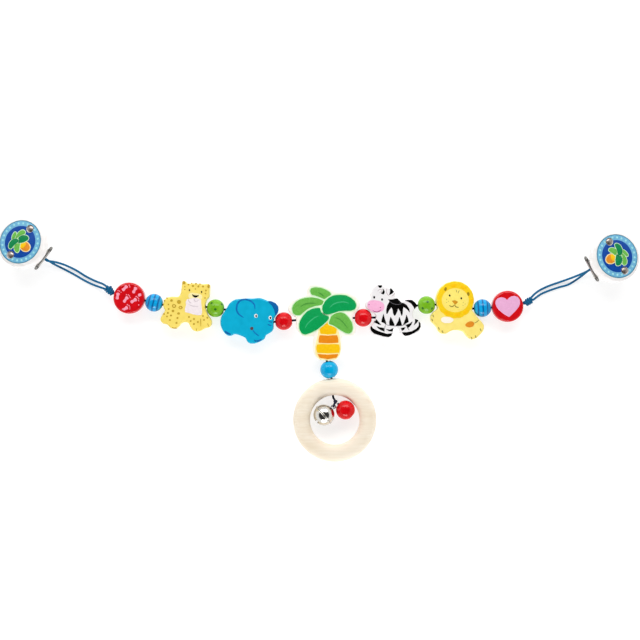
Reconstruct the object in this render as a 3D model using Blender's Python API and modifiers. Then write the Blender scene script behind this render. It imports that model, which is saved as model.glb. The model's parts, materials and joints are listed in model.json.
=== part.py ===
"""Pram chain toy lying flat: wooden figures and beads on a cord, a ring with a bell, a clip at each end."""

import math

import bmesh
import bpy
import numpy as np
from mathutils import Matrix, Vector

MM = 0.001

# Cord, gaps and bores
CORD_DIAMETER = 1.8 * MM
GAP = 0.3 * MM
BORE_PLAY = 0.55 * MM
STUB = 1.6 * MM
OVERRUN = 3.0 * MM
FLOOR_PLAY = 0.05 * MM

# Round beads
BEAD_DIAMETER = 14.6 * MM
BEAD_LIP = 0.6 * MM
BEAD_CLEARANCE = 0.5 * MM

# Flat wooden pieces
FLAT_THICKNESS = 12.0 * MM
RIM_RADIUS = 1.2 * MM
DISC_DIAMETER = 25.0 * MM
PALM_WIDTH = 57.6 * MM
PALM_HEIGHT = 61.6 * MM
ELEPHANT_WIDTH = 46.2 * MM
ELEPHANT_HEIGHT = 36.6 * MM
LEOPARD_WIDTH = 41.0 * MM
LEOPARD_HEIGHT = 40.4 * MM
ZEBRA_WIDTH = 44.4 * MM
ZEBRA_HEIGHT = 42.4 * MM
LION_WIDTH = 42.8 * MM
LION_HEIGHT = 46.6 * MM
LION_MANE_DIAMETER = 30.4 * MM

# Free cord between a bead and the piece before it, and the piece after it
PALM_TO_RED_RIGHT = 2.0 * MM
RED_TO_ZEBRA = 3.5 * MM
ZEBRA_TO_GREEN = 1.4 * MM
GREEN_TO_LION = 1.1 * MM
LION_TO_STRIPED = 1.1 * MM
STRIPED_TO_HEART = 0.8 * MM
PALM_TO_RED_LEFT = 3.4 * MM
RED_TO_ELEPHANT = 1.4 * MM
ELEPHANT_TO_GREEN = 1.1 * MM
GREEN_TO_LEOPARD = 1.3 * MM
LEOPARD_TO_STRIPED = 1.1 * MM
STRIPED_TO_FOOTPRINT = 0.9 * MM
PALM_TO_BLUE = 0.5 * MM
BLUE_TO_RING = 0.6 * MM

# Ring, bell and the bead inside the ring
RING_SECTION = 13.6 * MM
RING_ROOM = 7.0 * MM
BELL_DIAMETER = 17.2 * MM
BELL_WALL = 0.7 * MM
BELL_FLANGE = 0.7 * MM
BELL_SLOT_WIDTH = 1.7 * MM
BELL_SLOT_SPAN = 11.0 * MM
BELL_EYE_WIRE = 0.9 * MM
BELL_EYE_DIAMETER = 4.2 * MM
BELL_EYE_FOOT = 1.6 * MM
BELL_EYE_HOLE = 3.7 * MM
BELL_SIDE_ROOM = 0.9 * MM
PELLET_DIAMETER = 5.0 * MM
RING_BEAD_DIAMETER = 15.4 * MM
RING_BEAD_ROOM = 0.4 * MM
STOPPER_DIAMETER = 3.0 * MM
STOPPER_SEAT_DIAMETER = 4.4 * MM
STOPPER_SEAT_DEPTH = 3.4 * MM

# Knots
LOOP_KNOT_LENGTH = 8.4 * MM
LOOP_KNOT_WIDTH = 6.2 * MM
LOOP_KNOT_ROOM = 1.2 * MM
TAIL_KNOT_DIAMETER = 3.6 * MM
TAIL_REACH = 3.0 * MM

# Clip: wooden disc, sheet-metal body, jaw, lever, pin and bail
CLIP_DISC_DIAMETER = 40.0 * MM
CLIP_DISC_THICKNESS = 11.0 * MM
CLIP_DISC_ROUND = 2.4 * MM
DISC_TO_BAIL = 17.8 * MM
RIVET_SPACING = 26.0 * MM
RIVET_HEAD_DIAMETER = 4.4 * MM
RIVET_HEAD_HEIGHT = 0.9 * MM
RIVET_SHANK_DIAMETER = 2.4 * MM
RIVET_SEAT_DIAMETER = 6.0 * MM
RIVET_SEAT_DEPTH = 1.1 * MM
SHEET = 0.8 * MM
PLATE_WIDTH = 15.0 * MM
PLATE_REACH = 35.6 * MM
WING_SPAN = 33.0 * MM
WING_WIDTH = 8.0 * MM
EAR_WIDTH = 3.6 * MM
PAD_THICKNESS = 1.9 * MM
PAD_LENGTH = 7.0 * MM
PAD_TOOTH = 0.7 * MM
PAD_TEETH = 4
JAW_WIDTH = 9.0 * MM
JAW_REACH = 34.6 * MM
JAW_HINGE_SETBACK = 14.6 * MM
PIN_SETBACK = 27.6 * MM
PIN_DIAMETER = 1.8 * MM
PIN_HEAD_DIAMETER = 3.0 * MM
PIN_HEAD = 0.6 * MM
CAM_REACH = 2.6 * MM
CAM_WIDTH = 3.6 * MM
LEVER_WIDTH = 11.0 * MM
LEVER_LENGTH = 19.0 * MM
LEVER_STEP = 1.8 * MM
LEVER_FALL = 6.0 * MM
LEVER_CURL = 1.1 * MM
BAIL_WIRE = 1.6 * MM
BAIL_WIDTH = 21.2 * MM
BAIL_HEIGHT = 8.0 * MM
BAIL_CORNER = 2.6 * MM
BAIL_TURN_RADIUS = 2.4 * MM

# Directions in degrees, counter-clockwise from +X
RIGHT_HEADINGS = (1.2, 2.9, 3.2)
LEFT_HEADINGS = (184.5, 172.0, 166.5)
HEART_BORE_HEADING = 4.4
FOOTPRINT_BORE_HEADING = 171.2
PENDANT_HEADING = -75.0
RING_BORE_HEADING = 94.5
RING_BEAD_HEADING = 43.3
RING_BEAD_BORE_HEADING = 140.0
BELL_PLACE_HEADING = 154.6
BELL_AXIS_HEADING = 41.0
LEFT_CLIP_HEADING = -37.0
RIGHT_CLIP_HEADING = 208.0
LEFT_KNOT_HEADING = 130.0
RIGHT_KNOT_HEADING = 33.0
LION_MANE_START = -30.0
LION_MANE_TURN = 237.0

# Turned pieces and arcs
BEAD_STEPS = 20
BEAD_ARC_POINTS = 8
SMALL_STEPS = 12
DISC_STEPS = 32
RING_STEPS = 44
RING_SECTION_STEPS = 14
BELL_STEPS = 24
BELL_ARC_POINTS = 7
KNOT_ARC_POINTS = 8
FIGURE_DISC_POINTS = 28
LION_MANE_POINTS = 21
ROUTE_SAMPLES = 12
TUBE_SPACING = 2.2 * MM
BEND_SPACING = 0.9 * MM
SEAM_WELD = 0.01 * MM
CAP_WELD = 0.001 * MM
FULL_TURN = 360.0
HALF_TURN = 180.0
QUARTER_TURN = 90.0
ROLL_TURN = 265.0
CURL_TURN = 75.0
SHELL_SMOOTHING = 40.0
PAD_SMOOTHING = 20.0

# Sizes that follow
cord_radius = CORD_DIAMETER / 2
bead_radius = BEAD_DIAMETER / 2
flat_middle = FLAT_THICKNESS / 2
strand_height = (bead_radius + flat_middle) / 2
bore_radius = cord_radius + abs(bead_radius - flat_middle) / 2 + BORE_PLAY
bead_half_length = math.sqrt(bead_radius ** 2 - (bore_radius + BEAD_LIP) ** 2)
ring_hole_radius = (BELL_DIAMETER + RING_BEAD_DIAMETER + RING_ROOM) / 2
ring_outer_radius = ring_hole_radius + RING_SECTION
bell_radius = BELL_DIAMETER / 2
bell_flange_radius = bell_radius + BELL_FLANGE
ring_bead_radius = RING_BEAD_DIAMETER / 2
knuckle_radius = BAIL_WIRE / 2 + GAP + SHEET / 2
plate_top = knuckle_radius + SHEET / 2
plate_bottom = knuckle_radius - SHEET / 2
disc_back = plate_top + GAP
disc_front = disc_back + CLIP_DISC_THICKNESS
pad_top = plate_bottom - GAP
jaw_middle = pad_top - PAD_THICKNESS - GAP - SHEET / 2
pin_height = jaw_middle - SHEET / 2 - GAP - CAM_REACH
lever_height = pin_height - LEVER_STEP
lever_back = PIN_SETBACK + CAM_WIDTH / 2
lever_run = lever_back - PIN_SETBACK + LEVER_LENGTH - LEVER_CURL
clip_tilt = math.atan2(LEVER_FALL, lever_run)
knuckle_height = (lever_back * math.sin(clip_tilt) + (SHEET / 2 - lever_height) * math.cos(clip_tilt)
                  + FLOOR_PLAY)
bail_bar_height = knuckle_height - BAIL_HEIGHT

# Shares of the clip's lever, of its cheeks and teeth, and of the stopper knot
lever_flat_share = 0.3
cheek_foot_share = 2.2
cheek_nose_share = 0.7
tooth_tip_share = 0.5
stopper_share = 1.5

# Outlines as shares of each figure's width and height from its middle, clockwise from the top left
palm_outline_share = (
    (-0.20, 0.49), (-0.11, 0.50), (-0.03, 0.48), (0.06, 0.455), (0.10, 0.44), (0.145, 0.405),
    (0.18, 0.395), (0.29, 0.395), (0.36, 0.375), (0.43, 0.345), (0.48, 0.29), (0.50, 0.24),
    (0.49, 0.19), (0.46, 0.15), (0.42, 0.12), (0.394, 0.085), (0.40, 0.03), (0.43, -0.03),
    (0.44, -0.11), (0.42, -0.16), (0.39, -0.18), (0.32, -0.18), (0.25, -0.175), (0.236, -0.23),
    (0.243, -0.355), (0.22, -0.40), (0.18, -0.45), (0.14, -0.48), (0.08, -0.50), (-0.04, -0.495),
    (-0.10, -0.46), (-0.14, -0.415), (-0.16, -0.355), (-0.16, -0.23), (-0.14, -0.18), (-0.195, -0.19),
    (-0.26, -0.19), (-0.305, -0.175), (-0.345, -0.145), (-0.375, -0.105), (-0.39, -0.045),
    (-0.385, 0.06), (-0.43, 0.085), (-0.47, 0.115), (-0.50, 0.155), (-0.50, 0.20), (-0.47, 0.26),
    (-0.415, 0.30), (-0.36, 0.33), (-0.31, 0.345), (-0.235, 0.365), (-0.243, 0.42))
palm_mouths_share = ((-0.385, 0.030), (0.394, 0.058))
palm_drop_share = (0.039, -0.50)

elephant_outline_share = (
    (-0.24, 0.47), (-0.14, 0.48), (-0.04, 0.49), (0.05, 0.485), (0.12, 0.495), (0.19, 0.50),
    (0.26, 0.47), (0.32, 0.435), (0.40, 0.41), (0.47, 0.35), (0.50, 0.26), (0.50, 0.19),
    (0.47, 0.13), (0.43, 0.06), (0.42, -0.03), (0.42, -0.11), (0.42, -0.18), (0.39, -0.24),
    (0.34, -0.28), (0.28, -0.32), (0.27, -0.39), (0.24, -0.42), (0.18, -0.46), (0.10, -0.50),
    (0.01, -0.50), (-0.04, -0.455), (-0.05, -0.41), (-0.07, -0.365), (-0.14, -0.33), (-0.21, -0.30),
    (-0.26, -0.29), (-0.30, -0.32), (-0.33, -0.34), (-0.38, -0.32), (-0.43, -0.27), (-0.47, -0.19),
    (-0.50, -0.09), (-0.50, 0.02), (-0.48, 0.11), (-0.43, 0.20), (-0.39, 0.28), (-0.35, 0.37),
    (-0.30, 0.43))
elephant_mouths_share = ((-0.419, 0.246), (0.42, -0.025))

leopard_outline_share = (
    (-0.07, 0.50), (-0.01, 0.49), (0.02, 0.44), (0.18, 0.45), (0.35, 0.43), (0.40, 0.44),
    (0.46, 0.43), (0.46, 0.36), (0.45, 0.18), (0.39, 0.12), (0.37, 0.04), (0.37, -0.02),
    (0.39, -0.09), (0.42, -0.17), (0.50, -0.29), (0.49, -0.37), (0.44, -0.42), (0.36, -0.43),
    (0.29, -0.48), (0.20, -0.50), (0.13, -0.47), (0.08, -0.39), (0.05, -0.32), (-0.04, -0.31),
    (-0.11, -0.34), (-0.14, -0.40), (-0.23, -0.45), (-0.31, -0.42), (-0.35, -0.36), (-0.45, -0.34),
    (-0.49, -0.29), (-0.50, -0.25), (-0.47, -0.19), (-0.44, -0.14), (-0.40, -0.09), (-0.44, -0.01),
    (-0.45, 0.05), (-0.42, 0.12), (-0.37, 0.17), (-0.27, 0.19), (-0.15, 0.18), (-0.11, 0.22),
    (-0.09, 0.30), (-0.08, 0.40))
leopard_mouths_share = ((-0.445, 0.025), (0.377, -0.011))

zebra_outline_share = (
    (-0.50, 0.13), (-0.48, 0.19), (-0.43, 0.22), (-0.39, 0.25), (-0.41, 0.32), (-0.38, 0.42),
    (-0.34, 0.48), (-0.29, 0.50), (-0.19, 0.50), (-0.14, 0.47), (-0.07, 0.44), (-0.01, 0.42),
    (0.03, 0.38), (0.04, 0.32), (0.03, 0.27), (0.08, 0.25), (0.12, 0.22), (0.16, 0.18),
    (0.20, 0.21), (0.26, 0.23), (0.33, 0.24), (0.38, 0.21), (0.42, 0.14), (0.43, 0.09),
    (0.39, 0.04), (0.36, 0.0), (0.36, -0.08), (0.38, -0.13), (0.45, -0.16), (0.49, -0.21),
    (0.50, -0.28), (0.48, -0.36), (0.42, -0.41), (0.35, -0.43), (0.29, -0.46), (0.20, -0.47),
    (0.16, -0.45), (0.12, -0.40), (0.11, -0.32), (0.06, -0.30), (0.0, -0.32), (0.0, -0.40),
    (-0.02, -0.45), (-0.07, -0.49), (-0.14, -0.50), (-0.21, -0.48), (-0.28, -0.46), (-0.36, -0.44),
    (-0.40, -0.40), (-0.42, -0.34), (-0.41, -0.29), (-0.38, -0.26), (-0.35, -0.22), (-0.33, -0.17),
    (-0.31, -0.13), (-0.30, -0.09), (-0.32, -0.04), (-0.39, -0.01), (-0.45, 0.04), (-0.49, 0.08))
zebra_mouths_share = ((-0.304, -0.113), (0.424, 0.113))

lion_mane_share = (-0.042, 0.174)
lion_body_share = (
    (-0.444, -0.03), (-0.50, -0.105), (-0.49, -0.19), (-0.425, -0.245), (-0.37, -0.305), (-0.35, -0.365),
    (-0.285, -0.405), (-0.21, -0.405), (-0.155, -0.37), (-0.09, -0.34), (0.02, -0.34), (0.12, -0.365),
    (0.165, -0.43), (0.23, -0.49), (0.295, -0.50), (0.37, -0.465), (0.435, -0.405), (0.49, -0.345),
    (0.50, -0.26), (0.455, -0.20), (0.39, -0.135), (0.335, -0.07))
lion_mouths_share = ((-0.388, 0.097), (0.293, 0.027))

# Routes of the two end loops from the middle of their knot, in real sizes: out to the bail, and back
left_loop_out = [(x * MM, y * MM, z * MM) for x, y, z in (
    (-2.75, 3.35, 5.3), (-6.2, 5.5, 3.2), (-11.9, 7.6, 1.4), (-19.9, 11.5, 1.0), (-27.9, 16.5, 1.0),
    (-35.9, 20.3, 2.0), (-42.3, 23.4, 5.2), (-47.4, 25.1, 8.8))]
left_loop_back = [(x * MM, y * MM, z * MM) for x, y, z in (
    (-48.6, 23.6, 3.0), (-44.6, 21.5, 1.4), (-35.9, 16.9, 1.0), (-27.9, 12.2, 1.0), (-21.6, 8.5, 1.0),
    (-15.2, 5.3, 1.1), (-9.0, 3.0, 2.6), (-3.8, 1.32, 5.55))]
right_loop_out = [(x * MM, y * MM, z * MM) for x, y, z in (
    (2.65, 3.45, 5.3), (5.9, 6.5, 3.2), (10.4, 9.5, 1.4), (17.6, 12.8, 1.0), (25.6, 15.6, 1.0),
    (33.6, 18.5, 2.0), (40.2, 21.3, 5.2), (45.1, 23.6, 8.8))]
right_loop_back = [(x * MM, y * MM, z * MM) for x, y, z in (
    (46.6, 23.2, 3.0), (42.6, 19.9, 1.4), (33.6, 14.0, 1.0), (25.6, 11.6, 1.0), (17.6, 8.9, 1.0),
    (11.4, 6.3, 1.2), (7.6, 3.9, 2.8), (4.2, 1.45, 5.45))]
left_bail_place = (-52.3 * MM, 25.8 * MM)
right_bail_place = (49.9 * MM, 26.0 * MM)

# Routes inside the ring, from its middle: the cord on its way to the knot, and the end in the bell's eye
ring_cord_route = [(x * MM, y * MM, z * MM) for x, y, z in (
    (-1.3, 18.4, 6.75), (-0.6, 17.1, 7.0))]
bell_cord_route = [(x * MM, y * MM, z * MM) for x, y, z in (
    (0.2, 14.2, 9.8), (-0.1, 13.7, 10.9), (-0.45, 12.9, 11.9), (-0.8, 11.9, 12.1), (-1.05, 11.1, 11.4),
    (-1.08, 10.78, 10.2), (-1.08, 10.75, 8.8), (-1.08, 10.75, 6.3), (-1.08, 10.7, 3.6))]

# Finishes: base colour, roughness and metallic value
FINISHES = {
    "bare_wood": ((0.83, 0.72, 0.55), 0.45, 0.0),
    "white_lacquer": ((0.86, 0.84, 0.80), 0.30, 0.0),
    "cream_wood": ((0.87, 0.80, 0.62), 0.40, 0.0),
    "yellow_lacquer": ((0.93, 0.70, 0.14), 0.30, 0.0),
    "sky_lacquer": ((0.01, 0.38, 0.66), 0.25, 0.0),
    "green_lacquer": ((0.22, 0.52, 0.04), 0.25, 0.0),
    "red_lacquer": ((0.68, 0.01, 0.02), 0.25, 0.0),
    "black_cord": ((0.01, 0.015, 0.05), 0.80, 0.0),
    "blue_cord": ((0.01, 0.12, 0.36), 0.80, 0.0),
    "nickel": ((0.62, 0.61, 0.58), 0.22, 1.0),
    "steel": ((0.50, 0.49, 0.47), 0.30, 1.0),
    "clear_plastic": ((0.75, 0.76, 0.74), 0.40, 0.0),
}


def clear_scene():
    """Removes what the scene holds at the start."""
    for obj in list(bpy.data.objects):
        bpy.data.objects.remove(obj, do_unlink=True)


def new_group(name):
    """A collection in the scene."""
    group = bpy.data.collections.new(name)
    bpy.context.scene.collection.children.link(group)
    return group


def finish(name):
    """The material of one finish, made once."""
    found = bpy.data.materials.get(name)
    if found:
        return found
    colour, roughness, metallic = FINISHES[name]
    material = bpy.data.materials.new(name)
    material.use_nodes = True
    shader = material.node_tree.nodes["Principled BSDF"]
    shader.inputs["Base Color"].default_value = (*colour, 1.0)
    shader.inputs["Roughness"].default_value = roughness
    shader.inputs["Metallic"].default_value = metallic
    material.diffuse_color = (*colour, 1.0)
    return material


def place(obj, matrix, parent=None):
    """Puts an object at a matrix, under a parent empty if there is one."""
    obj.parent = parent
    obj.matrix_local = matrix
    return obj


def add_part(name, mesh, finish_name, matrix=Matrix(), parent=None, smooth=SHELL_SMOOTHING):
    """A named piece with its finish, shaded smooth up to the given angle."""
    obj = bpy.data.objects.new(name, mesh)
    parts.objects.link(obj)
    mesh.materials.clear()
    mesh.materials.append(finish(finish_name))
    mesh.shade_smooth()
    mesh.set_sharp_from_angle(angle=math.radians(smooth))
    return place(obj, matrix, parent)


def add_cutter(name, mesh, matrix=Matrix(), parent=None):
    """A helper body that cuts or joins, kept out of the parts."""
    obj = bpy.data.objects.new(name, mesh)
    cutters.objects.link(obj)
    obj.hide_render = True
    obj.display_type = "WIRE"
    return place(obj, matrix, parent)


def combine(target, helper, operation):
    """A live Boolean between a part and a helper body."""
    step = target.modifiers.new(helper.name, "BOOLEAN")
    step.operation = operation
    step.solver = "EXACT"
    step.object = helper


def empty_at(name, matrix, parent=None):
    """An empty that carries the pieces turning about one axis."""
    obj = bpy.data.objects.new(name, None)
    parts.objects.link(obj)
    obj.empty_display_size = FLAT_THICKNESS
    return place(obj, matrix, parent)


def rod_mesh(name, radius, length, segments=SMALL_STEPS):
    """A closed cylinder about Z, centred on its middle."""
    shape = bmesh.new()
    bmesh.ops.create_cone(shape, cap_ends=True, segments=segments, radius1=radius, radius2=radius,
                          depth=length)
    mesh = bpy.data.meshes.new(name)
    shape.to_mesh(mesh)
    shape.free()
    return mesh


def box_mesh(name, size):
    """A box of the given size, centred on its middle."""
    shape = bmesh.new()
    bmesh.ops.create_cube(shape, size=1.0)
    bmesh.ops.scale(shape, vec=Vector(size), verts=shape.verts)
    mesh = bpy.data.meshes.new(name)
    shape.to_mesh(mesh)
    shape.free()
    return mesh


def profile_mesh(name, profile, closed):
    """The wire of a turned profile in the XZ plane."""
    count = len(profile)
    edges = [(i, (i + 1) % count) for i in range(count if closed else count - 1)]
    mesh = bpy.data.meshes.new(name)
    mesh.from_pydata([(x, 0.0, z) for x, z in profile], edges, [])
    return mesh


def evaluated_mesh(obj, name):
    """The mesh an object shows with its modifiers, as a mesh of its own."""
    graph = bpy.context.evaluated_depsgraph_get()
    graph.update()
    return bpy.data.meshes.new_from_object(obj.evaluated_get(graph), preserve_all_data_layers=False,
                                           depsgraph=graph)


def turned_mesh(name, profile, steps, closed=True):
    """A profile turned a full circle about Z. It runs down its outer side, top to bottom."""
    obj = bpy.data.objects.new(name + "_profile", profile_mesh(name + "_profile", profile, closed))
    cutters.objects.link(obj)
    turn = obj.modifiers.new("turn", "SCREW")
    turn.angle = math.tau
    turn.steps = steps
    turn.render_steps = steps
    turn.use_merge_vertices = True
    turn.merge_threshold = SEAM_WELD
    turn.use_normal_calculate = False
    mesh = evaluated_mesh(obj, name)
    bpy.data.objects.remove(obj, do_unlink=True)
    mesh.name = name
    return mesh


def curve_mesh(name, curve):
    """A curve made a mesh, with its caps welded."""
    obj = bpy.data.objects.new(name + "_curve", curve)
    cutters.objects.link(obj)
    mesh = evaluated_mesh(obj, name)
    bpy.data.objects.remove(obj, do_unlink=True)
    shape = bmesh.new()
    shape.from_mesh(mesh)
    bmesh.ops.remove_doubles(shape, verts=shape.verts, dist=CAP_WELD)
    bmesh.ops.recalc_face_normals(shape, faces=shape.faces)
    shape.to_mesh(mesh)
    shape.free()
    mesh.name = name
    return mesh


def tube_curve(name, points, diameter, cyclic=False, swell=None, resolution=2):
    """A round tube through points, with filled caps where it is open."""
    curve = bpy.data.curves.new(name, "CURVE")
    curve.dimensions = "3D"
    curve.bevel_depth = diameter / 2
    curve.bevel_resolution = resolution
    curve.use_fill_caps = not cyclic
    spline = curve.splines.new("POLY")
    spline.points.add(len(points) - 1)
    for index, (point, target) in enumerate(zip(points, spline.points)):
        target.co = (*point, 1.0)
        target.radius = swell[index] if swell else 1.0
    spline.use_cyclic_u = cyclic
    return curve


def slab_mesh(name, outline, thickness, rim=0.0):
    """A flat outline with thickness, centred on Z, its rims rounded by the given radius."""
    curve = bpy.data.curves.new(name, "CURVE")
    curve.dimensions = "2D"
    curve.fill_mode = "BOTH"
    curve.extrude = thickness / 2 - rim
    curve.bevel_depth = rim
    curve.bevel_resolution = 1
    curve.offset = -rim
    spline = curve.splines.new("POLY")
    spline.points.add(len(outline) - 1)
    for (x, y), target in zip(outline, spline.points):
        target.co = (x, y, 0.0, 1.0)
    spline.use_cyclic_u = True
    return curve_mesh(name, curve)


def sheet_mesh(name, path, width, thickness):
    """A bent strip: a path in the XZ plane drawn out along Y, given its thickness on both sides."""
    wire = profile_mesh(name + "_path", path, False)
    shape = bmesh.new()
    shape.from_mesh(wire)
    drawn = bmesh.ops.extrude_edge_only(shape, edges=shape.edges[:])
    moved = [item for item in drawn["geom"] if isinstance(item, bmesh.types.BMVert)]
    bmesh.ops.translate(shape, vec=Vector((0.0, width, 0.0)), verts=moved)
    bmesh.ops.translate(shape, vec=Vector((0.0, -width / 2, 0.0)), verts=shape.verts)
    shape.to_mesh(wire)
    shape.free()
    obj = bpy.data.objects.new(name + "_strip", wire)
    cutters.objects.link(obj)
    wall = obj.modifiers.new("wall", "SOLIDIFY")
    wall.thickness = thickness
    wall.offset = 0.0
    wall.use_even_offset = True
    mesh = evaluated_mesh(obj, name)
    bpy.data.objects.remove(obj, do_unlink=True)
    mesh.name = name
    return mesh


def direction(heading):
    """The unit vector of a heading in the flat plane."""
    angle = math.radians(heading)
    return Vector((math.cos(angle), math.sin(angle), 0.0))


def heading_of(vector):
    """The heading of a vector in the flat plane, in degrees."""
    return math.degrees(math.atan2(vector.y, vector.x))


def lie_along(point, heading):
    """A matrix that lays a Z-axis piece along a heading, at a point."""
    return Matrix.Translation(point) @ Matrix.Rotation(math.radians(heading), 4, "Z") @ Matrix.Rotation(
        math.pi / 2, 4, "Y")


def arc(centre, radius, start, turn, count):
    """Points on an arc in a plane, from a start angle through a turn, in degrees."""
    angles = np.radians(start + turn * np.arange(count) / (count - 1))
    return [(centre[0] + radius * math.cos(a), centre[1] + radius * math.sin(a)) for a in angles]


def smooth_route(route, spacing):
    """Evenly spaced points on a Catmull-Rom curve through a route."""
    knots = [Vector(p) for p in route]
    knots = [knots[0] * 2 - knots[1]] + knots + [knots[-1] * 2 - knots[-2]]
    fine = []
    for p0, p1, p2, p3 in zip(knots, knots[1:], knots[2:], knots[3:]):
        for share in np.linspace(0.0, 1.0, ROUTE_SAMPLES, endpoint=False):
            fine.append(0.5 * (2 * p1 + (p2 - p0) * share + (2 * p0 - 5 * p1 + 4 * p2 - p3) * share ** 2
                               + (3 * p1 - p0 - 3 * p2 + p3) * share ** 3))
    fine.append(knots[-2])
    lengths = np.concatenate([[0.0], np.cumsum([(b - a).length for a, b in zip(fine, fine[1:])])])
    count = max(2, round(lengths[-1] / spacing) + 1)
    wanted = np.linspace(0.0, lengths[-1], count)
    table = np.array([tuple(p) for p in fine])
    return [tuple(float(np.interp(w, lengths, table[:, axis])) for axis in range(3)) for w in wanted]


def bead_profile(radius, hole):
    """Half a bead with its bore: a ball flattened where the cord goes in."""
    start = math.degrees(math.asin((hole + BEAD_LIP) / radius))
    side = ball_side(radius, start, HALF_TURN - start, BEAD_ARC_POINTS)
    return side + [(hole, side[-1][1]), (hole, side[0][1])]


def ball_side(radius, start, end, count):
    """Points down a ball's outer side, from one angle to another off the top, in degrees."""
    angles = np.radians(np.linspace(start, end, count))
    return [(radius * math.sin(a), radius * math.cos(a)) for a in angles]


def add_bead(name, finish_name, centre, heading):
    """A round wooden bead, its bore along the heading."""
    mesh = turned_mesh(name, bead_profile(bead_radius, bore_radius), BEAD_STEPS)
    return add_part(name, mesh, finish_name, lie_along(centre, heading))


def add_strand(name, points, finish_name="black_cord", swell=None):
    """A stretch of cord through points. Its origin is at the first."""
    first = Vector(points[0])
    local = [tuple(Vector(point) - first) for point in points]
    mesh = curve_mesh(name, tube_curve(name, local, CORD_DIAMETER, swell=swell))
    return add_part(name, mesh, finish_name, Matrix.Translation(first))


def sized(shares, width, height):
    """Points given as shares of a width and a height, in real sizes."""
    return [Vector((x * width, y * height, 0.0)) for x, y in shares]


def kept_clear(outline, beads):
    """The outline, with each point that a bead would touch moved out to the bead's clearance."""
    reach = bead_radius + BEAD_CLEARANCE
    clear = []
    for point in outline:
        for bead in beads:
            away = point - bead
            if away.length < reach:
                point = bead + away.normalized() * reach
        clear.append(point)
    return clear


def at_strand(point):
    """A point of the flat plane, lifted to the height of the cord."""
    return Vector((point.x, point.y, strand_height))


def cut_bore(piece, name, start, end, height, start_overrun=OVERRUN):
    """Cuts a cord bore through a piece, from mouth to mouth and past both."""
    along = (end - start).normalized()
    begin = start - along * start_overrun
    finish_point = end + along * OVERRUN
    middle = (begin + finish_point) / 2
    rod = rod_mesh(name, bore_radius, (finish_point - begin).length)
    spot = Vector((middle.x, middle.y, height))
    combine(piece, add_cutter(name, rod, lie_along(spot, heading_of(along))), "DIFFERENCE")


def add_figure(name, finish_name, outline, mouths, beads):
    """A flat wooden figure with a bore from mouth to mouth. Its origin is at the mouth it turns about."""
    pivot, far = mouths
    local = [(p.x - pivot.x, p.y - pivot.y) for p in kept_clear(outline, beads)]
    mesh = slab_mesh(name, local, FLAT_THICKNESS, RIM_RADIUS)
    piece = add_part(name, mesh, finish_name, Matrix.Translation((pivot.x, pivot.y, flat_middle)))
    cut_bore(piece, name + "_bore", pivot, far, flat_middle)
    return piece


def add_inner_cord(name, mouths):
    """The cord held inside a flat piece, between the ends of the stretches on both sides."""
    start, end = (at_strand(mouth) for mouth in mouths)
    inset = (end - start).normalized() * (STUB + 2 * GAP)
    return add_strand(name, [start + inset, end - inset])


def link_ends(mouth, heading, before, after):
    """Where a link's bead and its far mouth lie, from its near mouth."""
    along = direction(heading)
    bead = mouth + along * (before + bead_half_length)
    return bead, bead + along * (bead_half_length + after)


def add_link(cord_name, bead_name, finish_name, mouth, heading, before, after):
    """A bead on its stretch of cord, from one mouth to the next."""
    bead, end = link_ends(mouth, heading, before, after)
    stub = direction(heading) * STUB
    add_strand(cord_name, [at_strand(mouth - stub), at_strand(end + stub)])
    add_bead(bead_name, finish_name, Vector((bead.x, bead.y, bead_radius)), heading)


def figure_shape(outline_share, mouths_share, width, height):
    """A figure's outline and its two mouths about its middle, the left mouth first."""
    return sized(outline_share, width, height), sized(mouths_share, width, height)


def lion_shape():
    """The lion: a round mane, closed below by the body with its paws."""
    middle = sized([lion_mane_share], LION_WIDTH, LION_HEIGHT)[0]
    mane = arc((middle.x, middle.y), LION_MANE_DIAMETER / 2, LION_MANE_START, LION_MANE_TURN,
               LION_MANE_POINTS)
    outline = [Vector((x, y, 0.0)) for x, y in mane] + sized(lion_body_share, LION_WIDTH, LION_HEIGHT)
    return outline, sized(lion_mouths_share, LION_WIDTH, LION_HEIGHT)


def disc_shape(bore_heading):
    """A round disc and the two mouths of its bore, the near mouth first."""
    open_turn = FULL_TURN - FULL_TURN / FIGURE_DISC_POINTS
    circle = arc((0.0, 0.0), DISC_DIAMETER / 2, 0.0, open_turn, FIGURE_DISC_POINTS)
    outline = [Vector((x, y, 0.0)) for x, y in circle]
    reach = direction(bore_heading) * (DISC_DIAMETER / 2)
    return outline, [-reach, reach]


def moved(points, offset):
    """Points shifted by an offset."""
    return [point + offset for point in points]


def build_side(mouth, headings, links, figures):
    """One half of the chain, walked outwards: links and flat pieces in turn. Gives the last mouth."""
    spans = [(heading, *link[3:]) for heading, link in zip(headings, links)]
    for step, (link, span) in enumerate(zip(links, spans)):
        cord_name, bead_name, bead_finish = link[:3]
        add_link(cord_name, bead_name, bead_finish, mouth, *span)
        bead, arrival = link_ends(mouth, *span)
        name, finish_name, outline, mouths = figures[step]
        offset = arrival - mouths[0]
        mouths = moved(mouths, offset)
        beads = [bead]
        if step + 1 < len(links):
            beads.append(link_ends(mouths[1], *spans[step + 1])[0])
        add_figure(name, finish_name, moved(outline, offset), mouths, beads)
        add_inner_cord(name + "_cord", mouths)
        mouth = mouths[1]
    return mouth


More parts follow.
